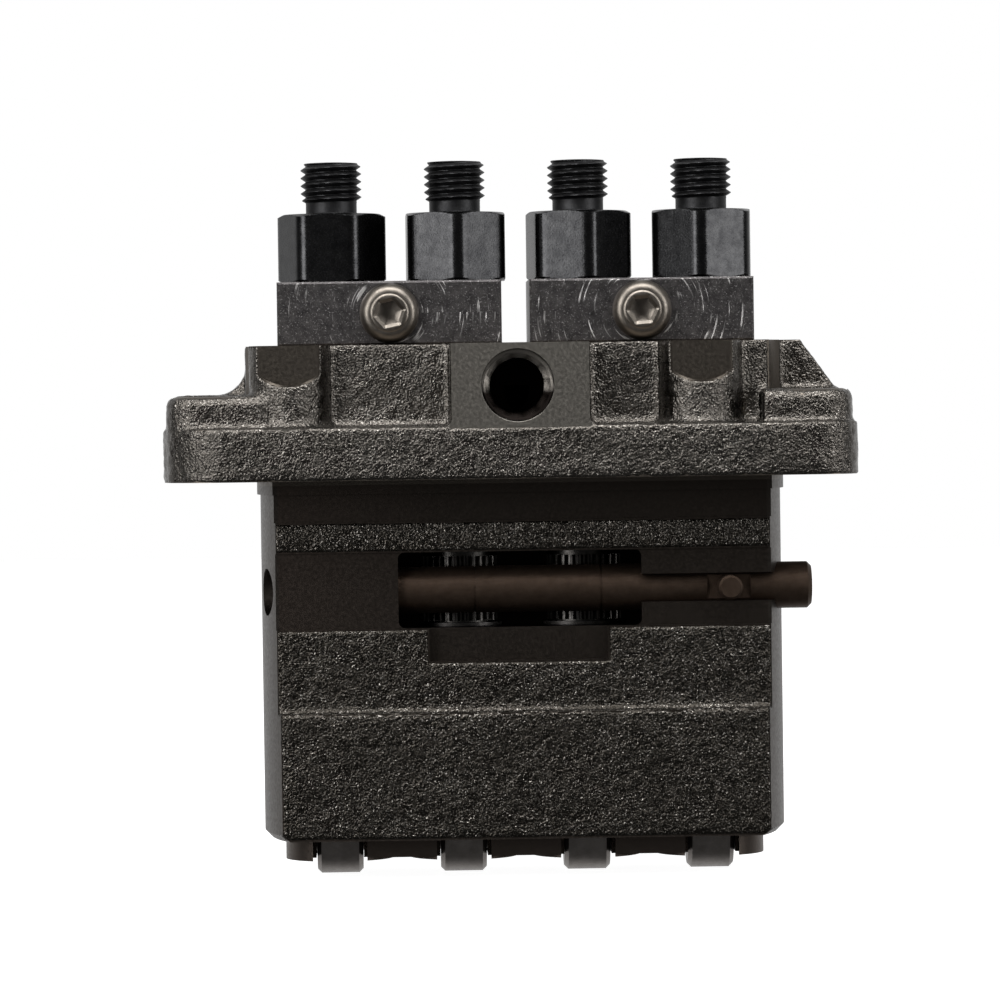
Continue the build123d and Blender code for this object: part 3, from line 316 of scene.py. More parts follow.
def relief(tree, shader, value, height):
    """Fine relief from a pattern, its full height given in metres."""
    bump = tree.nodes.new("ShaderNodeBump")
    bump.inputs["Strength"].default_value = 1.0
    bump.inputs["Distance"].default_value = height
    tree.links.new(value, bump.inputs["Height"])
    tree.links.new(bump.outputs["Normal"], shader.inputs["Normal"])


def worn(tree, shader, wear, low, high, height):
    """Roughness that follows a pattern of wear between two values, with its fine relief."""
    tree.links.new(ramp(tree, wear, *MOST_NOISE, low, high), shader.inputs["Roughness"])
    relief(tree, shader, wear, height)


# %% [markdown]
# ### Cast iron
# Sand leaves grains of a few tenths of a millimetre. The skin below carries the larger ones as
# real shape, but a mesh fine enough for all of them would be too heavy to render. So this
# finish adds the finer ones as relief, less of it on walls that face sideways, which came
# cleaner out of the mould. The highest grains are rubbed bare, so they shine. Below the flange
# the iron is painted darker, as shade under the flange's overhang.

# %% Cast iron
# painted shade: below the seat the cast iron is darker, standing in for the flange's shadow
CAST_ABOVE_SEAT = (0.08, 0.073, 0.065)
CAST_IN_SHADE = (0.038, 0.034, 0.029)
BARE_GRAIN = (0.28, 0.263, 0.242)
FULL_SHADE_BELOW = -12.0 * MM
SAND_GRAIN = 0.4 * MM
SAND_RELIEF = 0.28 * MM


def bare_grains(tree, place):
    """1 on the highest grains, which are rubbed bare, more of them in some patches."""
    bare = ramp(tree, grain(tree, place, 0.36 * MM, rough=0.6), start=0.56, end=0.68)
    patches = ramp(tree, grain(tree, place, 7.0 * MM), start=0.35, end=0.6, low=0.45)
    return joined(tree, "MULTIPLY", bare, patches)


def cast_iron():
    """Sand-cast iron: near black, with grains that catch the light, and painted shade below the
    flange.
    """
    material, tree, shader, place = new_finish("cast_iron_shaded_below")
    # painted shade: darker below the seat, where the flange overhangs
    out_of_shade = ramp(tree, sides_of(tree, place)[2], start=FULL_SHADE_BELOW, end=0.0)
    ground = tint(tree, out_of_shade, CAST_IN_SHADE, CAST_ABOVE_SEAT)
    colour = tint(tree, bare_grains(tree, place), ground, BARE_GRAIN)
    tree.links.new(colour, shader.inputs["Base Color"])
    gloss = ramp(tree, grain(tree, place, 1.6 * MM, detail=1.0), 0.35, 0.65, low=0.18, high=0.34)
    tree.links.new(gloss, shader.inputs["Roughness"])
    facing = tree.nodes.new("ShaderNodeTexCoord").outputs["Normal"]
    aside = joined(tree, "ABSOLUTE", sides_of(tree, facing)[0])
    wiped = ramp(tree, aside, start=0.55, end=0.9, low=1.0, high=0.2)
    sand = grain(tree, place, SAND_GRAIN, detail=1.5)
    relief(tree, shader, joined(tree, "MULTIPLY", sand, wiped), SAND_RELIEF)
    return material


CAST = cast_iron()
print("cast iron nodes:", len(CAST.node_tree.nodes))

# %% [markdown]
# ### Machined iron
# The same iron where a cutter has passed is smooth and a little brown. Its colour also carries
# painted light and shade. The pad round the fuel inlet is painted lighter, as if lit from above.
# Below the flange it is painted darker, as shade under the flange's overhang, and on the body it
# darkens towards the right. Inside the window and in the inlet it is painted nearly black, as
# shade in those hollows. Each of these could be a finish of its own on its own faces. But shade
# doesn't stop at a face's edge, so one finish is tinted by where each point is: a block of space
# is 1 inside its limits and 0 outside.

# %% Blocks of space
FAR = 1.0  # metres, well beyond every edge of the pump


def between(tree, value, low, high, edge=0.1 * MM):
    """1 where a number lies between two limits in metres, 0 elsewhere, with a soft edge."""
    above = ramp(tree, value, low - edge, low + edge)
    below = ramp(tree, value, high - edge, high + edge, low=1.0, high=0.0)
    return joined(tree, "MULTIPLY", above, below)


def region(tree, place, x=(-FAR, FAR), y=(-FAR, FAR), z=(-FAR, FAR)):
    """1 inside a block of space between limits in metres, 0 elsewhere."""
    sides = sides_of(tree, place)
    flat = joined(tree, "MULTIPLY", between(tree, sides[0], *x), between(tree, sides[1], *y))
    return joined(tree, "MULTIPLY", flat, between(tree, sides[2], *z))


# %% Where the painted light and shade lie
SEAT = -1.0 * MM
BODY_END = -69.0 * MM
GUIDE_TOP = -69.1 * MM
# painted light: the pad round the inlet is lighter, as if lit from above
LIT_PAD = {"y": (-FAR, -29.5 * MM), "z": (5.0 * MM, FAR)}
BELOW_SEAT = {"z": (GUIDE_TOP, SEAT)}
BODY = {"x": (-46.9 * MM, 46.9 * MM), "z": (BODY_END, SEAT)}
GUIDES = {"x": (-46.0 * MM, FAR), "z": (-FAR, GUIDE_TOP)}
# painted shade: inside the window and the inlet the machined iron is near black
WINDOW = {"x": (-47.0 * MM, 47.0 * MM), "y": (-15.2 * MM, 15.2 * MM), "z": (BODY_END, SEAT)}
INLET = {"x": (-8.3 * MM, 6.5 * MM), "y": (-29.7 * MM, 0.0), "z": (10.0 * MM, 25.4 * MM)}
# the machined body below the seat darkens from left to right between these x
BODY_DARKENS = (-46.0 * MM, -16.0 * MM)
print("the film of oil grows from x", BODY_DARKENS[0] / MM, "to", BODY_DARKENS[1] / MM, "mm")

# %% Machined iron
# painted light: the colour of the inlet pad, lighter as if lit from above
LIT_PAD_IRON = (0.24, 0.225, 0.2)
HEAD_IRON = (0.1, 0.087, 0.073)
# painted shade: the machined iron below the seat is darker, under the flange's overhang
SHADED_IRON = (0.06, 0.052, 0.045)
# painted shade on the machined body below the seat, darker towards the right
SHADED_BODY_LEFT = (0.066, 0.053, 0.045)
SHADED_BODY_RIGHT = (0.048, 0.04, 0.034)
GUIDE_IRON = (0.085, 0.07, 0.06)
# painted shade: near black in the window and the inlet, and in the lower half of the inlet's thread
SHADE_BLACK = (0.005, 0.004, 0.0035)


def machined_iron():
    """Smooth iron, tinted by where it is: painted light on the inlet pad, painted shade below the
    flange and near black in the hollows.
    """
    material, tree, shader, place = new_finish("machined_iron")
    # painted shade on the body below the seat, darker towards the right
    across = ramp(tree, sides_of(tree, place)[0], *BODY_DARKENS)
    tone = tint(tree, across, SHADED_BODY_LEFT, SHADED_BODY_RIGHT)
    # painted shade: near black inside the window and the inlet
    hollow_shade = joined(tree, "MAXIMUM", region(tree, place, **WINDOW), region(tree, place, **INLET))
    # painted light on the inlet pad
    colour = tint(tree, region(tree, place, **LIT_PAD), HEAD_IRON, LIT_PAD_IRON)
    # painted shade below the seat, under the flange
    colour = tint(tree, region(tree, place, **BELOW_SEAT), colour, SHADED_IRON)
    colour = tint(tree, region(tree, place, **BODY), colour, tone)
    colour = tint(tree, region(tree, place, **GUIDES), colour, GUIDE_IRON)
    # painted shade in the hollows
    colour = tint(tree, hollow_shade, colour, SHADE_BLACK)
    tree.links.new(colour, shader.inputs["Base Color"])
    wear = grain(tree, place, 0.6 * MM, detail=3.0)
    worn(tree, shader, wear, low=0.32, high=0.46, height=0.015 * MM)
    return material


MACHINED = machined_iron()
print("machined iron nodes:", len(MACHINED.node_tree.nodes))

# %% [markdown]
# ### Steel
# The rod is brown with heat, the rollers are ground, the screws are stainless, the springs are
# black. Each could have a network of its own, but they differ only in shade and gloss. So one
# recipe serves them all: two colours, a roughness, and relief of a given height. The copper
# gaskets and the rubber rings are hidden deep inside, and take it too.


# %% One recipe for steel
def dark_steel(name, dark, light, roughness, height=0.008 * MM):
    """Steel with an uneven film on it: two colours, a roughness, and fine relief."""
    material, tree, shader, place = new_finish(name)
    tone = grain(tree, place, 2.0 * MM, detail=4.0, rough=0.6)
    colour = tint(tree, ramp(tree, tone, *MOST_NOISE), dark, light)
    tree.links.new(colour, shader.inputs["Base Color"])
    wear = grain(tree, place, 0.4 * MM, detail=3.0, rough=0.6)
    worn(tree, shader, wear, roughness - 0.06, roughness + 0.08, height)
    return material


# %% Steel in many shades
SHADES = {  # the film's dark and light colours, its roughness, and its relief where it differs
    "stainless_screw": ((0.13, 0.116, 0.1), (0.19, 0.17, 0.148), 0.36),
    "rack_steel": ((0.055, 0.038, 0.028), (0.078, 0.055, 0.041), 0.5, 0.003 * MM),
    "sleeve_steel": ((0.035, 0.033, 0.031), (0.075, 0.071, 0.067), 0.32),
    "hardened_steel": ((0.3, 0.3, 0.3), (0.42, 0.42, 0.41), 0.2),
    "spring_steel": ((0.05, 0.047, 0.045), (0.1, 0.095, 0.09), 0.3),
    "spring_seat_steel": ((0.03, 0.028, 0.027), (0.06, 0.057, 0.055), 0.4),
    "tappet_steel": ((0.06, 0.056, 0.052), (0.12, 0.113, 0.106), 0.3),
    "roller_steel": ((0.2, 0.182, 0.17), (0.27, 0.25, 0.235), 0.38),
    "copper_gasket": ((0.45, 0.2, 0.12), (0.6, 0.3, 0.2), 0.3),
    "seal_rubber": ((0.012, 0.012, 0.012), (0.02, 0.02, 0.02), 0.6),
    "black_plug": ((0.02, 0.02, 0.02), (0.05, 0.05, 0.05), 0.4),
}
FINISHES = {slot: dark_steel(slot, *shade) for slot, shade in SHADES.items()}
RUBBER = FINISHES["seal_rubber"].node_tree.nodes["Principled BSDF"]
RUBBER.inputs["Metallic"].default_value = 0.0
print("steel finishes:", len(FINISHES))

# %% [markdown]
# ### The holders' black oxide
# The holders are dipped in a hot blackening bath. Where a spanner and hands have polished the
# hexagons they are glossy, so each flat mirrors one part of the room; the necks and the threads
# above stay dull. Two materials would need a seam on the mesh, so one finish changes with height.

# %% Black oxide
NECK_START = (51.3 * MM, 51.5 * MM)
OXIDE_DARK = (0.022, 0.022, 0.023)
OXIDE_LIGHT = (0.042, 0.042, 0.043)


def holder_steel():
    """Black oxide: glossy on the hexagons, dull on the necks and the threads."""
    material, tree, shader, place = new_finish("black_oxide_steel")
    tone = ramp(tree, grain(tree, place, 2.0 * MM, detail=4.0, rough=0.6), *MOST_NOISE)
    tree.links.new(tint(tree, tone, OXIDE_DARK, OXIDE_LIGHT), shader.inputs["Base Color"])
    dull = ramp(tree, sides_of(tree, place)[2], *NECK_START, low=0.25, high=0.48)
    wear = grain(tree, place, 0.35 * MM)
    uneven = joined(tree, "ADD", dull, ramp(tree, wear, *MOST_NOISE, low=-0.04, high=0.04))
    tree.links.new(uneven, shader.inputs["Roughness"])
    relief(tree, shader, wear, height=0.018 * MM)
    return material


FINISHES["black_oxide_steel"] = holder_steel()
print("holders go dull above", round(NECK_START[0] / MM, 1), "mm")

# %% [markdown]
# ### The clamps
# Their faces were turned with a single-point cutter, which leaves arcs round the screw, and
# they are scuffed all over. The arcs could be hundreds of thin curved meshes. Instead they are
# noise read along the distance from the screw, so that it stretches round it, and only its
# highest ridges are kept, in patches. Both clamps share the finish, because each screw stands
# as far from the middle of the pump as the other.

# %% The cutter's arcs
ARC_CENTRE = (24.3 * MM, 31.9 * MM)
ARC_PITCH = 0.42 * MM
ARC_STRETCH = 0.45 * MM  # how far the noise moves on for each radian round the screw
ARC_SHIFT = 5.0 * MM  # so that the two clamps don't have the same arcs
TURNED_DEPTH = 12.9 * MM  # only the faces at the front and the back were turned


def round_the_screw(tree, x, z):
    """The distance from the nearest screw, and the turn round it stretched into a length."""
    across = joined(tree, "SUBTRACT", joined(tree, "ABSOLUTE", x), ARC_CENTRE[0])
    up = joined(tree, "SUBTRACT", z, ARC_CENTRE[1])
    wide = joined(tree, "MULTIPLY", across, across)
    tall = joined(tree, "MULTIPLY", up, up)
    away = joined(tree, "SQRT", joined(tree, "ADD", wide, tall))
    turn = joined(tree, "MULTIPLY", joined(tree, "ARCTAN2", up, across), ARC_STRETCH)
    return away, turn


def cutter_arcs(tree, place):
    """1 on the thin arcs that a cutter left round each clamp's screw, 0 elsewhere."""
    x, y, z = sides_of(tree, place)
    away, turn = round_the_screw(tree, x, z)
    shift = joined(tree, "MULTIPLY", joined(tree, "SIGN", x), ARC_SHIFT)
    polar = tree.nodes.new("ShaderNodeCombineXYZ")
    for side, value in (("X", away), ("Y", turn), ("Z", shift)):
        tree.links.new(value, polar.inputs[side])
    ridge = grain(tree, polar.outputs["Vector"], ARC_PITCH, detail=1.0)
    patch = ramp(tree, grain(tree, place, 4.0 * MM, detail=1.0), start=0.46, end=0.58)
    depth = joined(tree, "ABSOLUTE", y)
    on_face = ramp(tree, depth, TURNED_DEPTH - 0.1 * MM, TURNED_DEPTH)
    lines = joined(tree, "MULTIPLY", ramp(tree, ridge, start=0.62, end=0.68), on_face)
    return joined(tree, "MULTIPLY", lines, patch)


print("arcs about", round(ARC_PITCH / MM, 2), "mm apart")

# %% Clamp steel
CLAMP_DARK = (0.064, 0.06, 0.061)
CLAMP_LIGHT = (0.175, 0.164, 0.162)
SCRATCH = (0.8, 0.78, 0.76)
SCUFF_SHARE = 0.48  # how bright a scuff is beside an arc


def clamp_steel():
    """Ground dark steel with scuffs, specks and thin bright arcs."""
    material, tree, shader, place = new_finish("clamp_steel")
    tone = ramp(tree, grain(tree, place, 2.2 * MM, detail=5.0, rough=0.7), *MOST_NOISE)
    ground = tint(tree, tone, CLAMP_DARK, CLAMP_LIGHT)
    specks = grain(tree, place, 0.36 * MM, detail=3.0, rough=0.7)
    scuffs = ramp(tree, specks, start=0.58, end=0.68)
    faint = joined(tree, "MULTIPLY", scuffs, SCUFF_SHARE)
    marks = joined(tree, "MAXIMUM", cutter_arcs(tree, place), faint)
    tree.links.new(tint(tree, marks, ground, SCRATCH), shader.inputs["Base Color"])
    wear = grain(tree, place, 0.35 * MM, detail=3.0, rough=0.6)
    uneven = ramp(tree, wear, *MOST_NOISE, low=0.3, high=0.44)
    tree.links.new(uneven, shader.inputs["Roughness"])
    relief(tree, shader, joined(tree, "ADD", wear, marks), height=0.02 * MM)
    return material


FINISHES["clamp_steel"] = clamp_steel()
print("clamp steel nodes:", len(FINISHES["clamp_steel"].node_tree.nodes))

# %% [markdown]
# ### Every CAD node in its finish
# The record says which slot each CAD node takes its finish from. Going through that list is
# surer than naming the nodes here: a node that is added later gets its finish too. The housing
# is machined iron all over, because the skin that comes next hides the parts that aren't.

# %% Every CAD node in its finish
FINISHES["cast_body"] = MACHINED


def finish_nodes():
    """Gives every CAD node the finish of its slot in the record."""
    for part in frame["record"]["subparts"]:
        mesh = nodes[part["node"]].data
        mesh.materials.clear()
        mesh.materials.append(FINISHES[part["material_slot"]])


finish_nodes()
print("nodes:", len(nodes), "finishes:", len(FINISHES))

# %% [markdown]
# ## The sand-cast skin
# A casting isn't flat: sand leaves grains in its skin, its corners are rounded and its hollows
# are filleted. The CAD housing has the sharp, machined form. One way would be to sculpt each
# panel by hand. Here the housing is copied and rebuilt from small even squares (a voxel
# remesh), its hollows are softened, and the grains are pushed in and out of it. Only the parts
# of that copy that were never machined are kept. They lie a fifth of a millimetre proud of the
# CAD housing, so that the milled and turned faces show through where the skin stops.
#
# To know where it stops, each point is asked how much room it has to the nearest machined
# face: below zero it lies on one.

# %% Where the head and the flange were machined, in millimetres
ON_PLANE = 0.4  # a point this close to a plane counts as on it
SEAT_PLANE = 0.0
FLANGE_TOP = 9.9
FLANGE_FRONT = 30.0
PAD_TOP = 16.3
HEAD_TOP = 25.8
SHARP_EDGE = 2.5  # how many times sooner the grains start beside a sharp outer edge
SPOTFACES = [(x, y) for x in (-60.0, 56.0) for y in (-18.0, 18.0)]
SPOTFACE_RADIUS = 8.5
SPOTFACE_INSIDE = 2.0
LEVEL = 0.9  # a normal that points up or down by more than this belongs to a level face
INLET_CENTRE = (-0.9, 17.7)
INLET_CLEAR = 7.6
INLET_PAD = (-13.5, 12.7)
ON_PAD = 0.6
BOSS_CENTRES = (-44.3, 34.3)
FACING_RADIUS = 8.8
FACING_HEIGHT = 27.0
FACING_PLANE = 24.6
GALLERY_AXIS = (-8.5, 4.95)
GALLERY_CLEAR = 4.6
HIDDEN_HALF_LENGTH = 46.44
HIDDEN_HALF_DEPTH = 16.0


def room_at_spotfaces(x, y, z, up, room):
    """Less room near the flats under the bolts, and near the tops of the pads round them."""
    for bolt_x, bolt_y in SPOTFACES:
        away = np.hypot(x - bolt_x, y - bolt_y) - SPOTFACE_RADIUS
        room = np.where(z > PAD_TOP - ON_PLANE, np.minimum(room, away), room)
        level = np.minimum(room, np.abs(up) - LEVEL)
        room = np.where(away < -SPOTFACE_INSIDE, level, room)
    return room


def room_at_front(x, y, z, room):
    """Less room near the inlet's pad and near the facing cuts on the two bosses."""
    pad_side = np.maximum(np.maximum(INLET_PAD[0] - x, x - INLET_PAD[1]), FLANGE_TOP - z)
    room = np.where(y < -FLANGE_FRONT + ON_PAD, np.minimum(room, pad_side), room)
    for boss_x in BOSS_CENTRES:
        away = np.hypot(x - boss_x, z - FACING_HEIGHT) - FACING_RADIUS
        room = np.where(y < -FACING_PLANE + ON_PLANE, np.minimum(room, away), room)
    return room


def room_in_head(x, y, z, up):
    """How far each point above the seat is from the nearest machined face, in millimetres."""
    room = np.minimum(z - SEAT_PLANE, HEAD_TOP - z) * SHARP_EDGE
    room = room_at_front(x, y, z, room_at_spotfaces(x, y, z, up, room))
    gallery = np.hypot(y - GALLERY_AXIS[0], z - GALLERY_AXIS[1]) - GALLERY_CLEAR
    room = np.minimum(room, np.where(x > 0, gallery, room))
    within = (np.abs(x) < HIDDEN_HALF_LENGTH) & (np.abs(y) < HIDDEN_HALF_DEPTH)
    inlet = (y < 0) & (np.hypot(x - INLET_CENTRE[0], z - INLET_CENTRE[1]) < INLET_CLEAR)
    return np.where(within | inlet, -1.0, room)


print("spotfaces under the bolts:", SPOTFACES)

# %% Where the body was machined, in millimetres
BODY_RADIUS = 50.6
BODY_FOOT = -69.2
PANEL_STEP = -44.9
STEP_REACH = 1.0
RELIEF_EDGE = -8.1
LOW_PANEL_TOP = -28.65
FRONT_BANDS = [(-14.05, RELIEF_EDGE), (BODY_FOOT, LOW_PANEL_TOP)]
NOTCH_LEFT, NOTCH_RIGHT, NOTCH_FOOT = -18.2, 16.1, -35.05
FACES_FRONT = 0.3  # a normal that points to the front or the back by less is a side's


def room_in_body(x, y, z, facing):
    """The same for points below the seat, where only the front and back panels are cast."""
    room = np.sqrt(np.maximum(BODY_RADIUS**2 - y**2, 0.0)) - np.abs(x)
    room = np.minimum(room, z - BODY_FOOT) * SHARP_EDGE
    room = np.minimum(room, RELIEF_EDGE - z)
    band = np.maximum(*[np.minimum(z - low, high - z) for low, high in FRONT_BANDS])
    notch = np.maximum(np.maximum(NOTCH_LEFT - x, x - NOTCH_RIGHT), NOTCH_FOOT - z)
    notch = np.where(z < LOW_PANEL_TOP, notch, band)
    room = np.where(y < 0, np.minimum(room, np.minimum(band, notch)), room)
    inside = np.abs(y) < HIDDEN_HALF_DEPTH
    step = (np.abs(z - PANEL_STEP) < STEP_REACH) & ~inside
    turned_away = inside | (np.abs(facing) < FACES_FRONT)
    return np.where(turned_away & ~step, -1.0, room)


print("foot and top of each cast band on the front:", FRONT_BANDS)

# %% [markdown]
# ### Soft hollows and sand
# A patternmaker fills every inside corner with a fillet, because sharp sand breaks off and
# sharp iron cracks. A bevel on each CAD edge would need the edges picked by hand. Moving each
# point towards the mean of its neighbours fills all the hollows at once, and the outer corners
# are held. The grains could come from a displace modifier. Here they are worked out point by
# point, because they have to die away where the skin stops.


# %% The mesh as rows of numbers
def points_of(mesh):
    """The mesh's corners as an array of millimetres."""
    flat = np.empty(len(mesh.vertices) * 3)
    mesh.vertices.foreach_get("co", flat)
    return flat.reshape(-1, 3) / MM


def outward(mesh):
    """The mesh's corner normals."""
    flat = np.empty(len(mesh.vertices) * 3)
    mesh.vertex_normals.foreach_get("vector", flat)
    return flat.reshape(-1, 3)


print("housing corners in CAD:", len(points_of(nodes["pump_housing"].data)))

# %% The housing in small even squares
SKIN_VOXEL = 0.42 * MM


def remeshed_housing():
    """A copy of the CAD housing rebuilt from small even squares."""
    source = bpy.data.objects.new("housing_copy", nodes["pump_housing"].data.copy())
    bpy.context.scene.collection.objects.link(source)
    rebuild = source.modifiers.new("even_squares", "REMESH")
    rebuild.mode = "VOXEL"
    rebuild.voxel_size = SKIN_VOXEL
    shown = source.evaluated_get(bpy.context.evaluated_depsgraph_get())
    mesh = bpy.data.meshes.new_from_object(shown)
    bpy.data.objects.remove(source)
    return mesh


squares = remeshed_housing()
points = points_of(squares)
normals = outward(squares)
print("even squares:", len(squares.polygons))

# %% Softened hollows
SOFTENING_ROUNDS = 14
CORNER_LOSS = 0.05


def softened(mesh, points):
    """Each corner moved towards the mean of its neighbours, round after round."""
    pairs = np.empty(len(mesh.edges) * 2, dtype=np.int64)
    mesh.edges.foreach_get("vertices", pairs)
    first, second = pairs.reshape(-1, 2).T
    count = np.bincount(pairs, minlength=len(points))[:, None]
    moved = points.copy()
    for _ in range(SOFTENING_ROUNDS):
        total = np.zeros_like(moved)
        for axis in range(3):
            total[:, axis] += np.bincount(first, moved[second, axis], len(points))
            total[:, axis] += np.bincount(second, moved[first, axis], len(points))
        moved = 0.5 * moved + 0.5 * total / count
    return moved


def hollow_fill(mesh, points, normals):
    """How far softening fills each hollow, in millimetres. It may hardly wear the corners."""
    change = np.einsum("ij,ij->i", softened(mesh, points) - points, normals)
    return np.maximum(change, -CORNER_LOSS)


fill = hollow_fill(squares, points, normals)
points += normals * fill[:, None]
print("deepest hollow filled by", round(float(fill.max()), 2), "mm")

# %% Which points are cast
SKIN_EDGE = 0.45
HEAD_FOOT = -0.6


def smooth_step(value):
    """0 below 0, 1 above 1 and a soft rise between."""
    share = np.clip(value, 0.0, 1.0)
    return share * share * (3 - 2 * share)


def cast_share(points, normals):
    """1 on the cast surfaces, 0 on the machined ones, and a soft step between."""
    x, y, z = points.T
    _, facing, up = normals.T
    above = z > HEAD_FOOT
    room = np.where(above, room_in_head(x, y, z, up), room_in_body(x, y, z, facing))
    return smooth_step(room / SKIN_EDGE)


share = cast_share(points, normals)
print("share of the housing that is cast:", round(float((share > 0).mean()), 2))

# %% Sand grains
SAND_LAYERS = [  # lumps to a millimetre, a shift, and the height in millimetres
    (0.7, Vector((0.0, 0.0, 0.0)), 0.1),
    (1.4, Vector((7.0, 3.0, 1.0)), 0.08),
    (0.18, Vector((0.0, 0.0, 0.0)), 0.12),
]


def sand(point):
    """Height of the sand grains at a point, in millimetres."""
    return sum(noise.noise(point * lumps + shift) * tall for lumps, shift, tall in SAND_LAYERS)


grains = np.zeros(len(points))
kept = np.flatnonzero(share > 0)
grains[kept] = [sand(Vector(point)) for point in points[kept]]
print("grains from", round(float(grains.min()), 2), "to", round(float(grains.max()), 2), "mm")

# %% The copy moved to the cast surface
SKIN_PROUD = 0.2
SKIN_SUNK = -0.3  # where the skin stops it dips under the machined face

lift = SKIN_SUNK + (SKIN_PROUD - SKIN_SUNK + grains) * share
points += normals * lift[:, None]
print("highest point of the skin above the housing:", round(float(lift.max()), 2), "mm")


# %% The skin as a piece
def quads_of(mesh):
    """The four corners of every square."""
    corners = np.empty(len(mesh.loops), dtype=np.int64)
    mesh.loops.foreach_get("vertex_index", corners)
    starts = np.empty(len(mesh.polygons), dtype=np.int64)
    mesh.polygons.foreach_get("loop_start", starts)
    return corners[starts[:, None] + np.arange(4)]


def cast_skin(quads):
    """The cast surfaces of the housing, with everything machined left out."""
    quads = quads[(share > 0)[quads].any(axis=1)]
    used = np.unique(quads)
    skin = bpy.data.meshes.new("cast_skin")
    faces = np.searchsorted(used, quads)
    skin.from_pydata((points[used] * MM).tolist(), [], faces.tolist())
    skin.polygons.foreach_set("use_smooth", [True] * len(skin.polygons))
    skin.materials.append(CAST)
    piece = bpy.data.objects.new("cast_skin", skin)
    bpy.context.scene.collection.objects.link(piece)
    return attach(piece, "root")


skin = cast_skin(quads_of(squares))
bpy.data.meshes.remove(squares)
print("cast skin faces:", len(skin.data.polygons))

# %% [markdown]
# ## Threads, hexagons and other turned pieces
# A thread isn't a pattern on a cylinder: it is a ridge that climbs one pitch in each turn, and
# its outline shows against the light. Blender's screw modifier can sweep such a ridge, but it
# can't blend it into a neck or a chamfer. So each turned piece here is a stack of rings. A
# ring's radius is a number, or a function of the angle where the piece is a hexagon or a thread.

# %% A stack of rings
COLUMNS = 96  # corners in one ring, a multiple of six so that hexagons keep their corners


def stack_of_rings(rows, first_angle=0.0, looped=False):
    """Corners and faces of rings given as (height, radius). A looped stack has a bore."""
    corners = []
    for height, radius in rows:
        for column in range(COLUMNS):
            angle = first_angle + 2 * pi * column / COLUMNS
            reach = radius(angle) if callable(radius) else radius
            corners.append((reach * cos(angle), reach * sin(angle), height))
    faces = []
    count = len(rows)
    for row in range(count if looped else count - 1):
        low = row * COLUMNS
        high = (row + 1) % count * COLUMNS
        for column in range(COLUMNS):
            beside = (column + 1) % COLUMNS
            faces.append((low + column, low + beside, high + beside, high + column))
    if not looped:
        faces.append(tuple(reversed(range(COLUMNS))))
        last = (count - 1) * COLUMNS
        faces.append(tuple(range(last, last + COLUMNS)))
    return corners, faces


print("corners in a ring:", COLUMNS)

# %% The radius of a hexagon and of a thread
THREAD_FLANK = 1.25  # how steep the flanks of a thread are
THREAD_FLAT = 0.1  # how much of its crests is flat


def hexagon_reach(across_flats, first_angle, limit):
    """Radius of a hexagon at each angle, cut off at a limit, as a chamfer does."""

    def reach(angle):
        turn = (angle - first_angle) % (pi / 3) - pi / 6
        return min(across_flats / 2 / cos(turn), limit)

    return reach


def thread_reach(height, crest, depth, pitch, share=1.0):
    """Radius of a right-hand thread at each angle. The depth fades where the share is small."""

    def reach(angle):
        phase = (height / pitch - angle / (2 * pi)) % 1.0
        groove = min(max(abs(2 * phase - 1) * THREAD_FLANK - THREAD_FLAT, 0.0), 1.0)
        return crest - depth * groove * share

    return reach


# %% A piece from its corners
SHARP_ANGLE = radians(32.0)  # edges that turn by more than this aren't shaded smooth


def new_piece(name, corners, faces, slot, finish=None):
    """A mesh on the housing, from corners in millimetres, in its slot's finish or another."""
    mesh = bpy.data.meshes.new(name)
    mesh.from_pydata([tuple(Vector(corner) * MM) for corner in corners], [], faces)
    mesh.polygons.foreach_set("use_smooth", [True] * len(mesh.polygons))
    mesh.set_sharp_from_angle(angle=SHARP_ANGLE)
    mesh.materials.append(finish or FINISHES[slot])
    piece = bpy.data.objects.new(name, mesh)
    bpy.context.scene.collection.objects.link(piece)
    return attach(piece, "root")


# %% [markdown]
# ### The delivery valve holders
# Each holder clamps one delivery valve. From the bottom it has a plain body with a groove for
# its O-ring, a collar that the clamps grip, a hexagon for the spanner, a neck, and the M12
# outlet with a cone that seals the pipe. Boolean cuts would make the same shape from a cylinder
# and leave ragged faces at the thread's ends, which rings don't. The four hexagons stopped at
# four different angles.

# %% The hexagon
HEX_TURNS = [25.5, 2.0, 11.3, -4.7]
HEX_ACROSS = 19.0
HEX_LIMIT = 10.5
HEX_FOOT = 38.1
HEX_TOP = 51.4
HEX_CHAMFER = 0.9
CHAMFER_HEIGHT = 0.6 * HEX_CHAMFER
TOP_CHAMFER = 1.2 * HEX_CHAMFER
CHAMFER_SHARES = (0.0, 0.15, 0.3, 0.5, 0.7, 0.85, 1.0)


def hexagon_rows(first_angle):
    """Rings of the hexagon, with both of its chamfers."""
    rows = []
    for share in CHAMFER_SHARES:
        reach = hexagon_reach(HEX_ACROSS, first_angle, HEX_LIMIT - HEX_CHAMFER * (1 - share))
        rows.append((HEX_FOOT + CHAMFER_HEIGHT * share, reach))
    for share in reversed(CHAMFER_SHARES):
        reach = hexagon_reach(HEX_ACROSS, first_angle, HEX_LIMIT - TOP_CHAMFER * (1 - share))
        rows.append((HEX_TOP - CHAMFER_HEIGHT * share, reach))
    return rows


print("hexagon:", HEX_ACROSS, "mm across flats,", round(HEX_TOP - HEX_FOOT, 1), "mm tall")

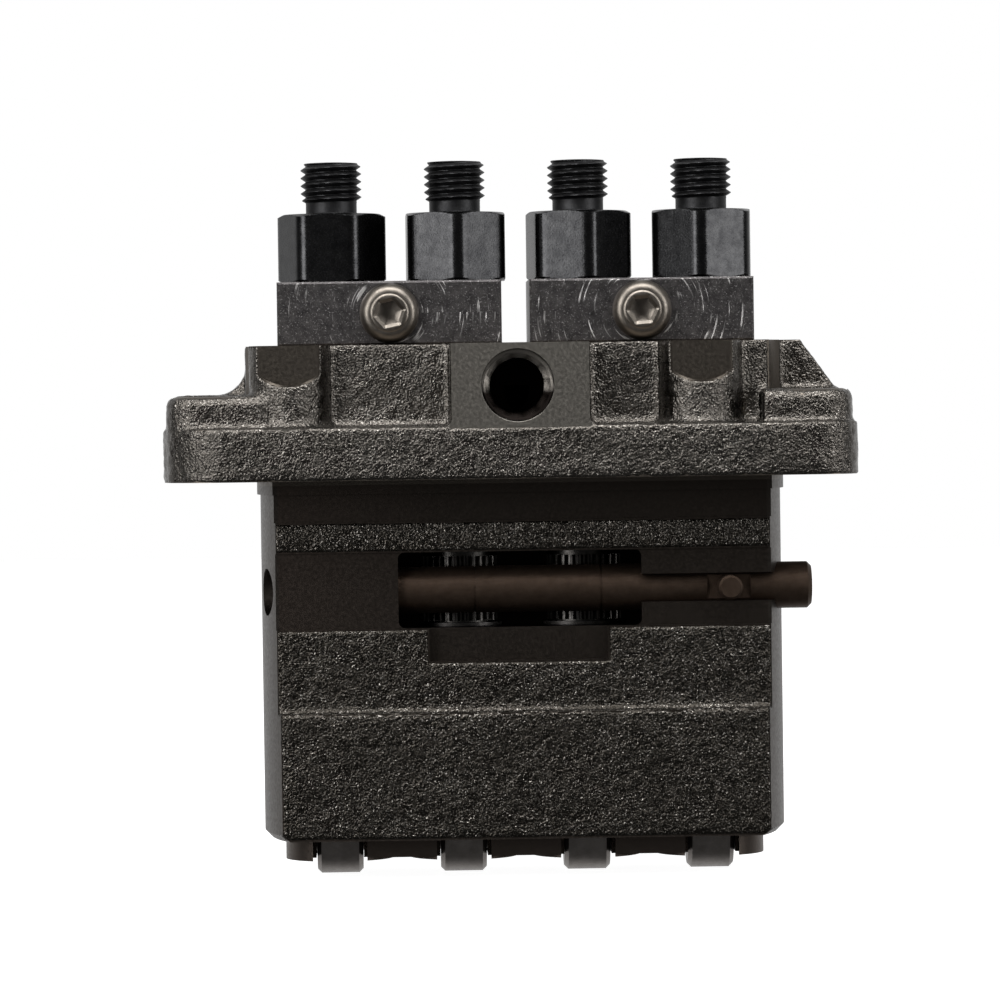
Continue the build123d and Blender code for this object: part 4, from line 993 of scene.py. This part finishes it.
# %% The outlet
NECK = 4.95
NECK_ROUND = 0.3
NECK_TOP = 54.2
OUTLET_TOP = 61.4
OUTLET_CREST = 5.9
THREAD_START = NECK_TOP - 0.5
FIRST_CREST = NECK + 0.1
TOP_EDGE = NECK + 0.15
THREAD_DEPTH = 0.9
THREAD_PITCH = 1.5
THREAD_STEP = 0.125
RUN_OUT = 1.6  # how fast the thread's crests rise out of the neck
END_FADE = 0.4


def outlet_rows():
    """Rings of the outlet's thread, which runs out at the neck and is chamfered at the top."""
    rows = [(HEX_TOP, NECK + NECK_ROUND), (HEX_TOP + NECK_ROUND, NECK), (NECK_TOP - 0.6, NECK)]
    for step in range(int((OUTLET_TOP - THREAD_START) / THREAD_STEP) + 1):
        height = THREAD_START + step * THREAD_STEP
        share = min((OUTLET_TOP - height) / END_FADE, 1.0)
        run_out = FIRST_CREST + (height - THREAD_START) * RUN_OUT
        chamfer = TOP_EDGE + OUTLET_TOP - height
        crest = min(OUTLET_CREST, run_out, chamfer)
        depth = min(THREAD_DEPTH, crest - NECK)
        rows.append((height, thread_reach(height, crest, depth, THREAD_PITCH, share)))
    return rows


print("outlet rings:", len(outlet_rows()))

# %% The whole holder
HOLDER_FOOT = 15.8
HOLDER_BODY = 8.95
FOOT_CHAMFER = 0.5
COLLAR = 7.5
GROOVE_HEIGHT = 24.1
GROOVE_HALF = 0.6
GROOVE_FLOOR = HOLDER_BODY - 0.92
CAVITY = 5.0
CAVITY_TOP = 26.6
CAVITY_CHAMFER = 0.3
PASSAGE = 1.5
CONE_MOUTH = 4.0
CONE_DEPTH = 3.0
CONE_EDGE = (0.1, 0.15)  # how tall and how wide the rounding of its mouth is


def holder_rows(first_angle):
    """All the rings of a holder, from its foot up the outside and down the bore."""
    return [
        (HOLDER_FOOT, CAVITY + CAVITY_CHAMFER),
        (HOLDER_FOOT, HOLDER_BODY - FOOT_CHAMFER),
        (HOLDER_FOOT + FOOT_CHAMFER, HOLDER_BODY),
        (GROOVE_HEIGHT - GROOVE_HALF, HOLDER_BODY),  # the O-ring's groove
        (GROOVE_HEIGHT - GROOVE_HALF, GROOVE_FLOOR),
        (GROOVE_HEIGHT + GROOVE_HALF, GROOVE_FLOOR),
        (GROOVE_HEIGHT + GROOVE_HALF, HOLDER_BODY),
        (HEAD_TOP, HOLDER_BODY),
        (HEAD_TOP, COLLAR),  # the collar between the clamp's jaws
        (HEX_FOOT, COLLAR),
        *hexagon_rows(first_angle),
        *outlet_rows(),
        (OUTLET_TOP, CONE_MOUTH + CONE_EDGE[1]),
        (OUTLET_TOP - CONE_EDGE[0], CONE_MOUTH),  # down the cone and the passage
        (OUTLET_TOP - CONE_DEPTH, PASSAGE),
        (CAVITY_TOP, PASSAGE),  # round the valve and its spring
        (CAVITY_TOP, CAVITY),
        (HOLDER_FOOT + CAVITY_CHAMFER, CAVITY),
    ]


print("rings in a holder:", len(holder_rows(0.0)))

# %% The four holders
STATIONS = [-36.0, -12.0, 12.0, 36.0]


def delivery_holders():
    """Four holders, each in place of its CAD node."""
    for number, (x, turn) in enumerate(zip(STATIONS, HEX_TURNS), start=1):
        first = radians(turn - 90.0)
        corners, faces = stack_of_rings(holder_rows(first), first, looped=True)
        corners = [(x + across, along, height) for across, along, height in corners]
        piece = new_piece(f"outlet_holder_{number}", corners, faces, "black_oxide_steel")
        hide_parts(f"delivery_holder_{number}")
    return faces


print("holders:", len(STATIONS), "with", len(delivery_holders()), "faces each")

# %% [markdown]
# ### The thread in the fuel inlet
# The inlet takes an M14 union. Seen from the front its thread is a set of fine bright arcs, so
# it has to be real relief: a bump pattern has no edges to catch the light. Cutting the ridges
# out of the housing would change the CAD. The CAD bore is as wide as the thread's roots, so
# the ridges are a thin sleeve laid in that bore. The sleeve narrows with depth, as the lead of
# a threading tap leaves it. Its lower half is painted dark, as shade in the bore, and its upper
# part lighter, as painted light.

# %% Iron for a thread
# painted light in the upper part of the inlet's bore, painted shade in its lower part
LIT_THREAD_IRON = (0.26, 0.24, 0.215)
SHADE_LEVEL = INLET_CENTRE[1] - 0.3


def thread_iron():
    """Iron in the inlet's thread, painted light in its upper part and painted shade in its lower
    part.
    """
    material, tree, shader, place = new_finish("thread_iron")
    edge = ((SHADE_LEVEL - 1.2) * MM, (SHADE_LEVEL + 1.8) * MM)
    # painted shade below this level, painted light above it
    lit_part = ramp(tree, sides_of(tree, place)[2], *edge)
    tree.links.new(tint(tree, lit_part, SHADE_BLACK, LIT_THREAD_IRON), shader.inputs["Base Color"])
    wear = grain(tree, place, 0.5 * MM)
    worn(tree, shader, wear, low=0.36, high=0.48, height=0.02 * MM)
    return material


# the painted shade in the inlet reaches up to this height
print("oil in the inlet up to", round(SHADE_LEVEL, 1), "mm above the seat")

# %% The inlet's thread
INLET_ROOT = 6.92
INLET_RIDGE = 0.72
INLET_GROWTH = 0.11
INLET_START = 0.45
INLET_LENGTH = 9.6
FADE_IN_RINGS = 6


def inlet_rows():
    """Rings of the ridges, mouth first. They stand inward, so their depth is negative."""
    rows = []
    for step in range(int(INLET_LENGTH / THREAD_STEP) + 1):
        depth = INLET_START + step * THREAD_STEP
        share = min(step / FADE_IN_RINGS, 1.0)
        ridge = INLET_RIDGE + INLET_GROWTH * depth
        reach = thread_reach(depth, INLET_ROOT, -ridge, THREAD_PITCH, -share)
        root = INLET_ROOT - INLET_GROWTH * depth
        rows.append((depth, lambda angle, reach=reach, root=root: min(reach(angle), root)))
    return rows


def inlet_thread():
    """A sleeve of thread ridges that lines the bore of the inlet."""
    corners, faces = stack_of_rings(inlet_rows())
    walls = [tuple(reversed(face)) for face in faces[:-2]]
    centre_x, centre_z = INLET_CENTRE
    placed = [
        (centre_x + across, depth - FLANGE_FRONT, centre_z - along)
        for across, along, depth in corners
    ]
    return new_piece("inlet_thread", placed, walls, "cast_body", thread_iron())


print("inlet thread faces:", len(inlet_thread().data.polygons))

# %% [markdown]
# ### The clamp screws
# Two button-head screws draw the clamp jaws together. Their heads are bright stainless steel,
# turned to a dome, with a narrow raised ring and a chamfer round the hexagon socket. A squashed
# sphere would be quicker, but only a turned profile has the ring and the socket's crisp mouth.

# %% One screw
SCREW_SHANK = 3.0
SCREW_LENGTH = 23.0
SHANK_CHAMFER = 0.5
SCREW_HEAD = 5.75
HEAD_EDGE = (0.25, 0.3)  # how tall and how wide the rounding under the head is
HEAD_RIM = 0.7
DOME_STEPS = 12
DOME_RISE = 2.35
SCREW_CROWN = 3.3
SCREW_RING = 3.7
MOUTH_ACROSS = 5.5
SOCKET_ACROSS = 4.3
SOCKET_DEPTH = 2.4
DRILL_POINT = 1.2


def dome_rows():
    """Rings of the domed head, from its rim to the foot of the raised ring."""
    rows = [(0.0, SCREW_HEAD - HEAD_EDGE[1]), (HEAD_EDGE[0], SCREW_HEAD), (HEAD_RIM, SCREW_HEAD)]
    for step in range(1, DOME_STEPS + 1):
        share = step / DOME_STEPS
        reach = SCREW_HEAD - (SCREW_HEAD - SCREW_RING) * share
        rows.append((HEAD_RIM + DOME_RISE * sqrt(1 - (1 - share) ** 2), reach))
    return rows


def screw_rows(first_angle):
    """Rings of a button-head screw from the end of its shank to the floor of its socket."""
    mouth = hexagon_reach(MOUTH_ACROSS, first_angle, SCREW_RING)
    socket = hexagon_reach(SOCKET_ACROSS, first_angle, SCREW_RING)
    return [
        (-SCREW_LENGTH, SCREW_SHANK - SHANK_CHAMFER),
        (-SCREW_LENGTH + SHANK_CHAMFER, SCREW_SHANK),
        (0.0, SCREW_SHANK),
        *dome_rows(),
        (SCREW_CROWN - 0.1, SCREW_RING - 0.2),  # the raised ring
        (SCREW_CROWN, SCREW_RING - 0.45),
        (SCREW_CROWN - 0.02, mouth),  # the socket's chamfered mouth
        (SCREW_CROWN - 0.5, socket),
        (SCREW_CROWN - SOCKET_DEPTH, socket),
        (SCREW_CROWN - SOCKET_DEPTH - 0.4, DRILL_POINT),
    ]


print("rings in a screw:", len(screw_rows(0.0)))

# %% Both screws
SCREW_PLACES = [(-25.0, 12.0), (23.6, 4.0)]  # millimetres from the middle, and the socket's turn
SCREW_HEIGHT = 31.9
JAW_FRONT = 13.0


def clamp_screws():
    """Both screws as one piece, in place of their CAD node."""
    corners, faces = [], []
    for x, turn in SCREW_PLACES:
        ring_corners, ring_faces = stack_of_rings(screw_rows(radians(turn)), radians(turn))
        start = len(corners)
        for across, along, out in ring_corners:
            corners.append((x + across, -JAW_FRONT - out, SCREW_HEIGHT + along))
        faces += [tuple(start + corner for corner in face) for face in ring_faces]
    piece = new_piece("button_head_screws", corners, faces, "stainless_screw")
    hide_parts("clamp_screws")
    return piece


print("screw faces:", len(clamp_screws().data.polygons))

# %% [markdown]
# ### The coil springs
# Each plunger is brought back by a spring under its sleeve, and each delivery valve is shut by a
# small one. A curve with a round bevel would give the same wire, but a mesh keeps the end coils
# exactly where they should lie. So the wire is a round tube bent along a helix, with the end
# coils laid close. A spring rides on the housing.

# %% One spring
WIRE_CORNERS = 10
STEPS_A_TURN = 28
CLOSE_RISE = 1.08  # how far an end coil climbs, in thicknesses of the wire


def wire_rings(mean, wire, turns, low, high):
    """Rings of corners along the wire, round +Z."""
    closed = CLOSE_RISE * 2 * wire
    pitch = (high - low - 2 * wire - 2 * closed) / (turns - 2)
    corners = []
    for step in range(turns * STEPS_A_TURN + 1):
        turn = step / STEPS_A_TURN
        ends = min(turn, 1) + max(turn - turns + 1, 0)
        rise = closed * ends + pitch * min(max(turn - 1, 0), turns - 2)
        angle = 2 * pi * turn
        for corner in range(WIRE_CORNERS):
            around = 2 * pi * corner / WIRE_CORNERS
            reach = mean + wire * cos(around)
            height = low + wire + rise + wire * sin(around)
            corners.append((reach * cos(angle), reach * sin(angle), height))
    return corners


def tube_faces(steps):
    """Faces between the rings of a wire, and one at each end."""
    faces = []
    for step in range(steps):
        here, ahead = step * WIRE_CORNERS, (step + 1) * WIRE_CORNERS
        for corner in range(WIRE_CORNERS):
            beside = (corner + 1) % WIRE_CORNERS
            faces.append((here + corner, ahead + corner, ahead + beside, here + beside))
    faces.append(tuple(range(WIRE_CORNERS)))
    faces.append(tuple(reversed(range(steps * WIRE_CORNERS, (steps + 1) * WIRE_CORNERS))))
    return faces


print("faces in one turn of wire:", WIRE_CORNERS * STEPS_A_TURN)

# %% All the springs
PLUNGER_SPRING = (8.4, 0.9, 7)  # mean radius, wire radius and turns
VALVE_SPRING = (3.4, 0.55, 6)


def springs(kind, shape):
    """One spring at each station, in place of its CAD node, between that node's foot and top."""
    low, high = (corner[2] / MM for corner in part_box(f"{kind}_1"))
    for number, x in enumerate(STATIONS, start=1):
        corners = wire_rings(*shape, low, high)
        corners = [(x + across, along, height) for across, along, height in corners]
        faces = tube_faces(shape[2] * STEPS_A_TURN)
        piece = new_piece(f"{kind}_coil_{number}", corners, faces, "spring_steel")
        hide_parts(f"{kind}_{number}")
        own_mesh(piece)


springs("plunger_spring", PLUNGER_SPRING)
springs("delivery_spring", VALVE_SPRING)

# %% [markdown]
# ## The last lines
# The dressed pump is meant to keep the size of the CAD model, apart from grains and thread
# crests. So both boxes are measured, and the largest difference is printed.

# %% The last lines
visual_box = [list(corner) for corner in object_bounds()]
growth = np.abs(np.array(visual_box) - np.array(cad_box)).max() / MM
print("the dressed pump differs from the CAD box by", round(float(growth), 2), "mm at most")
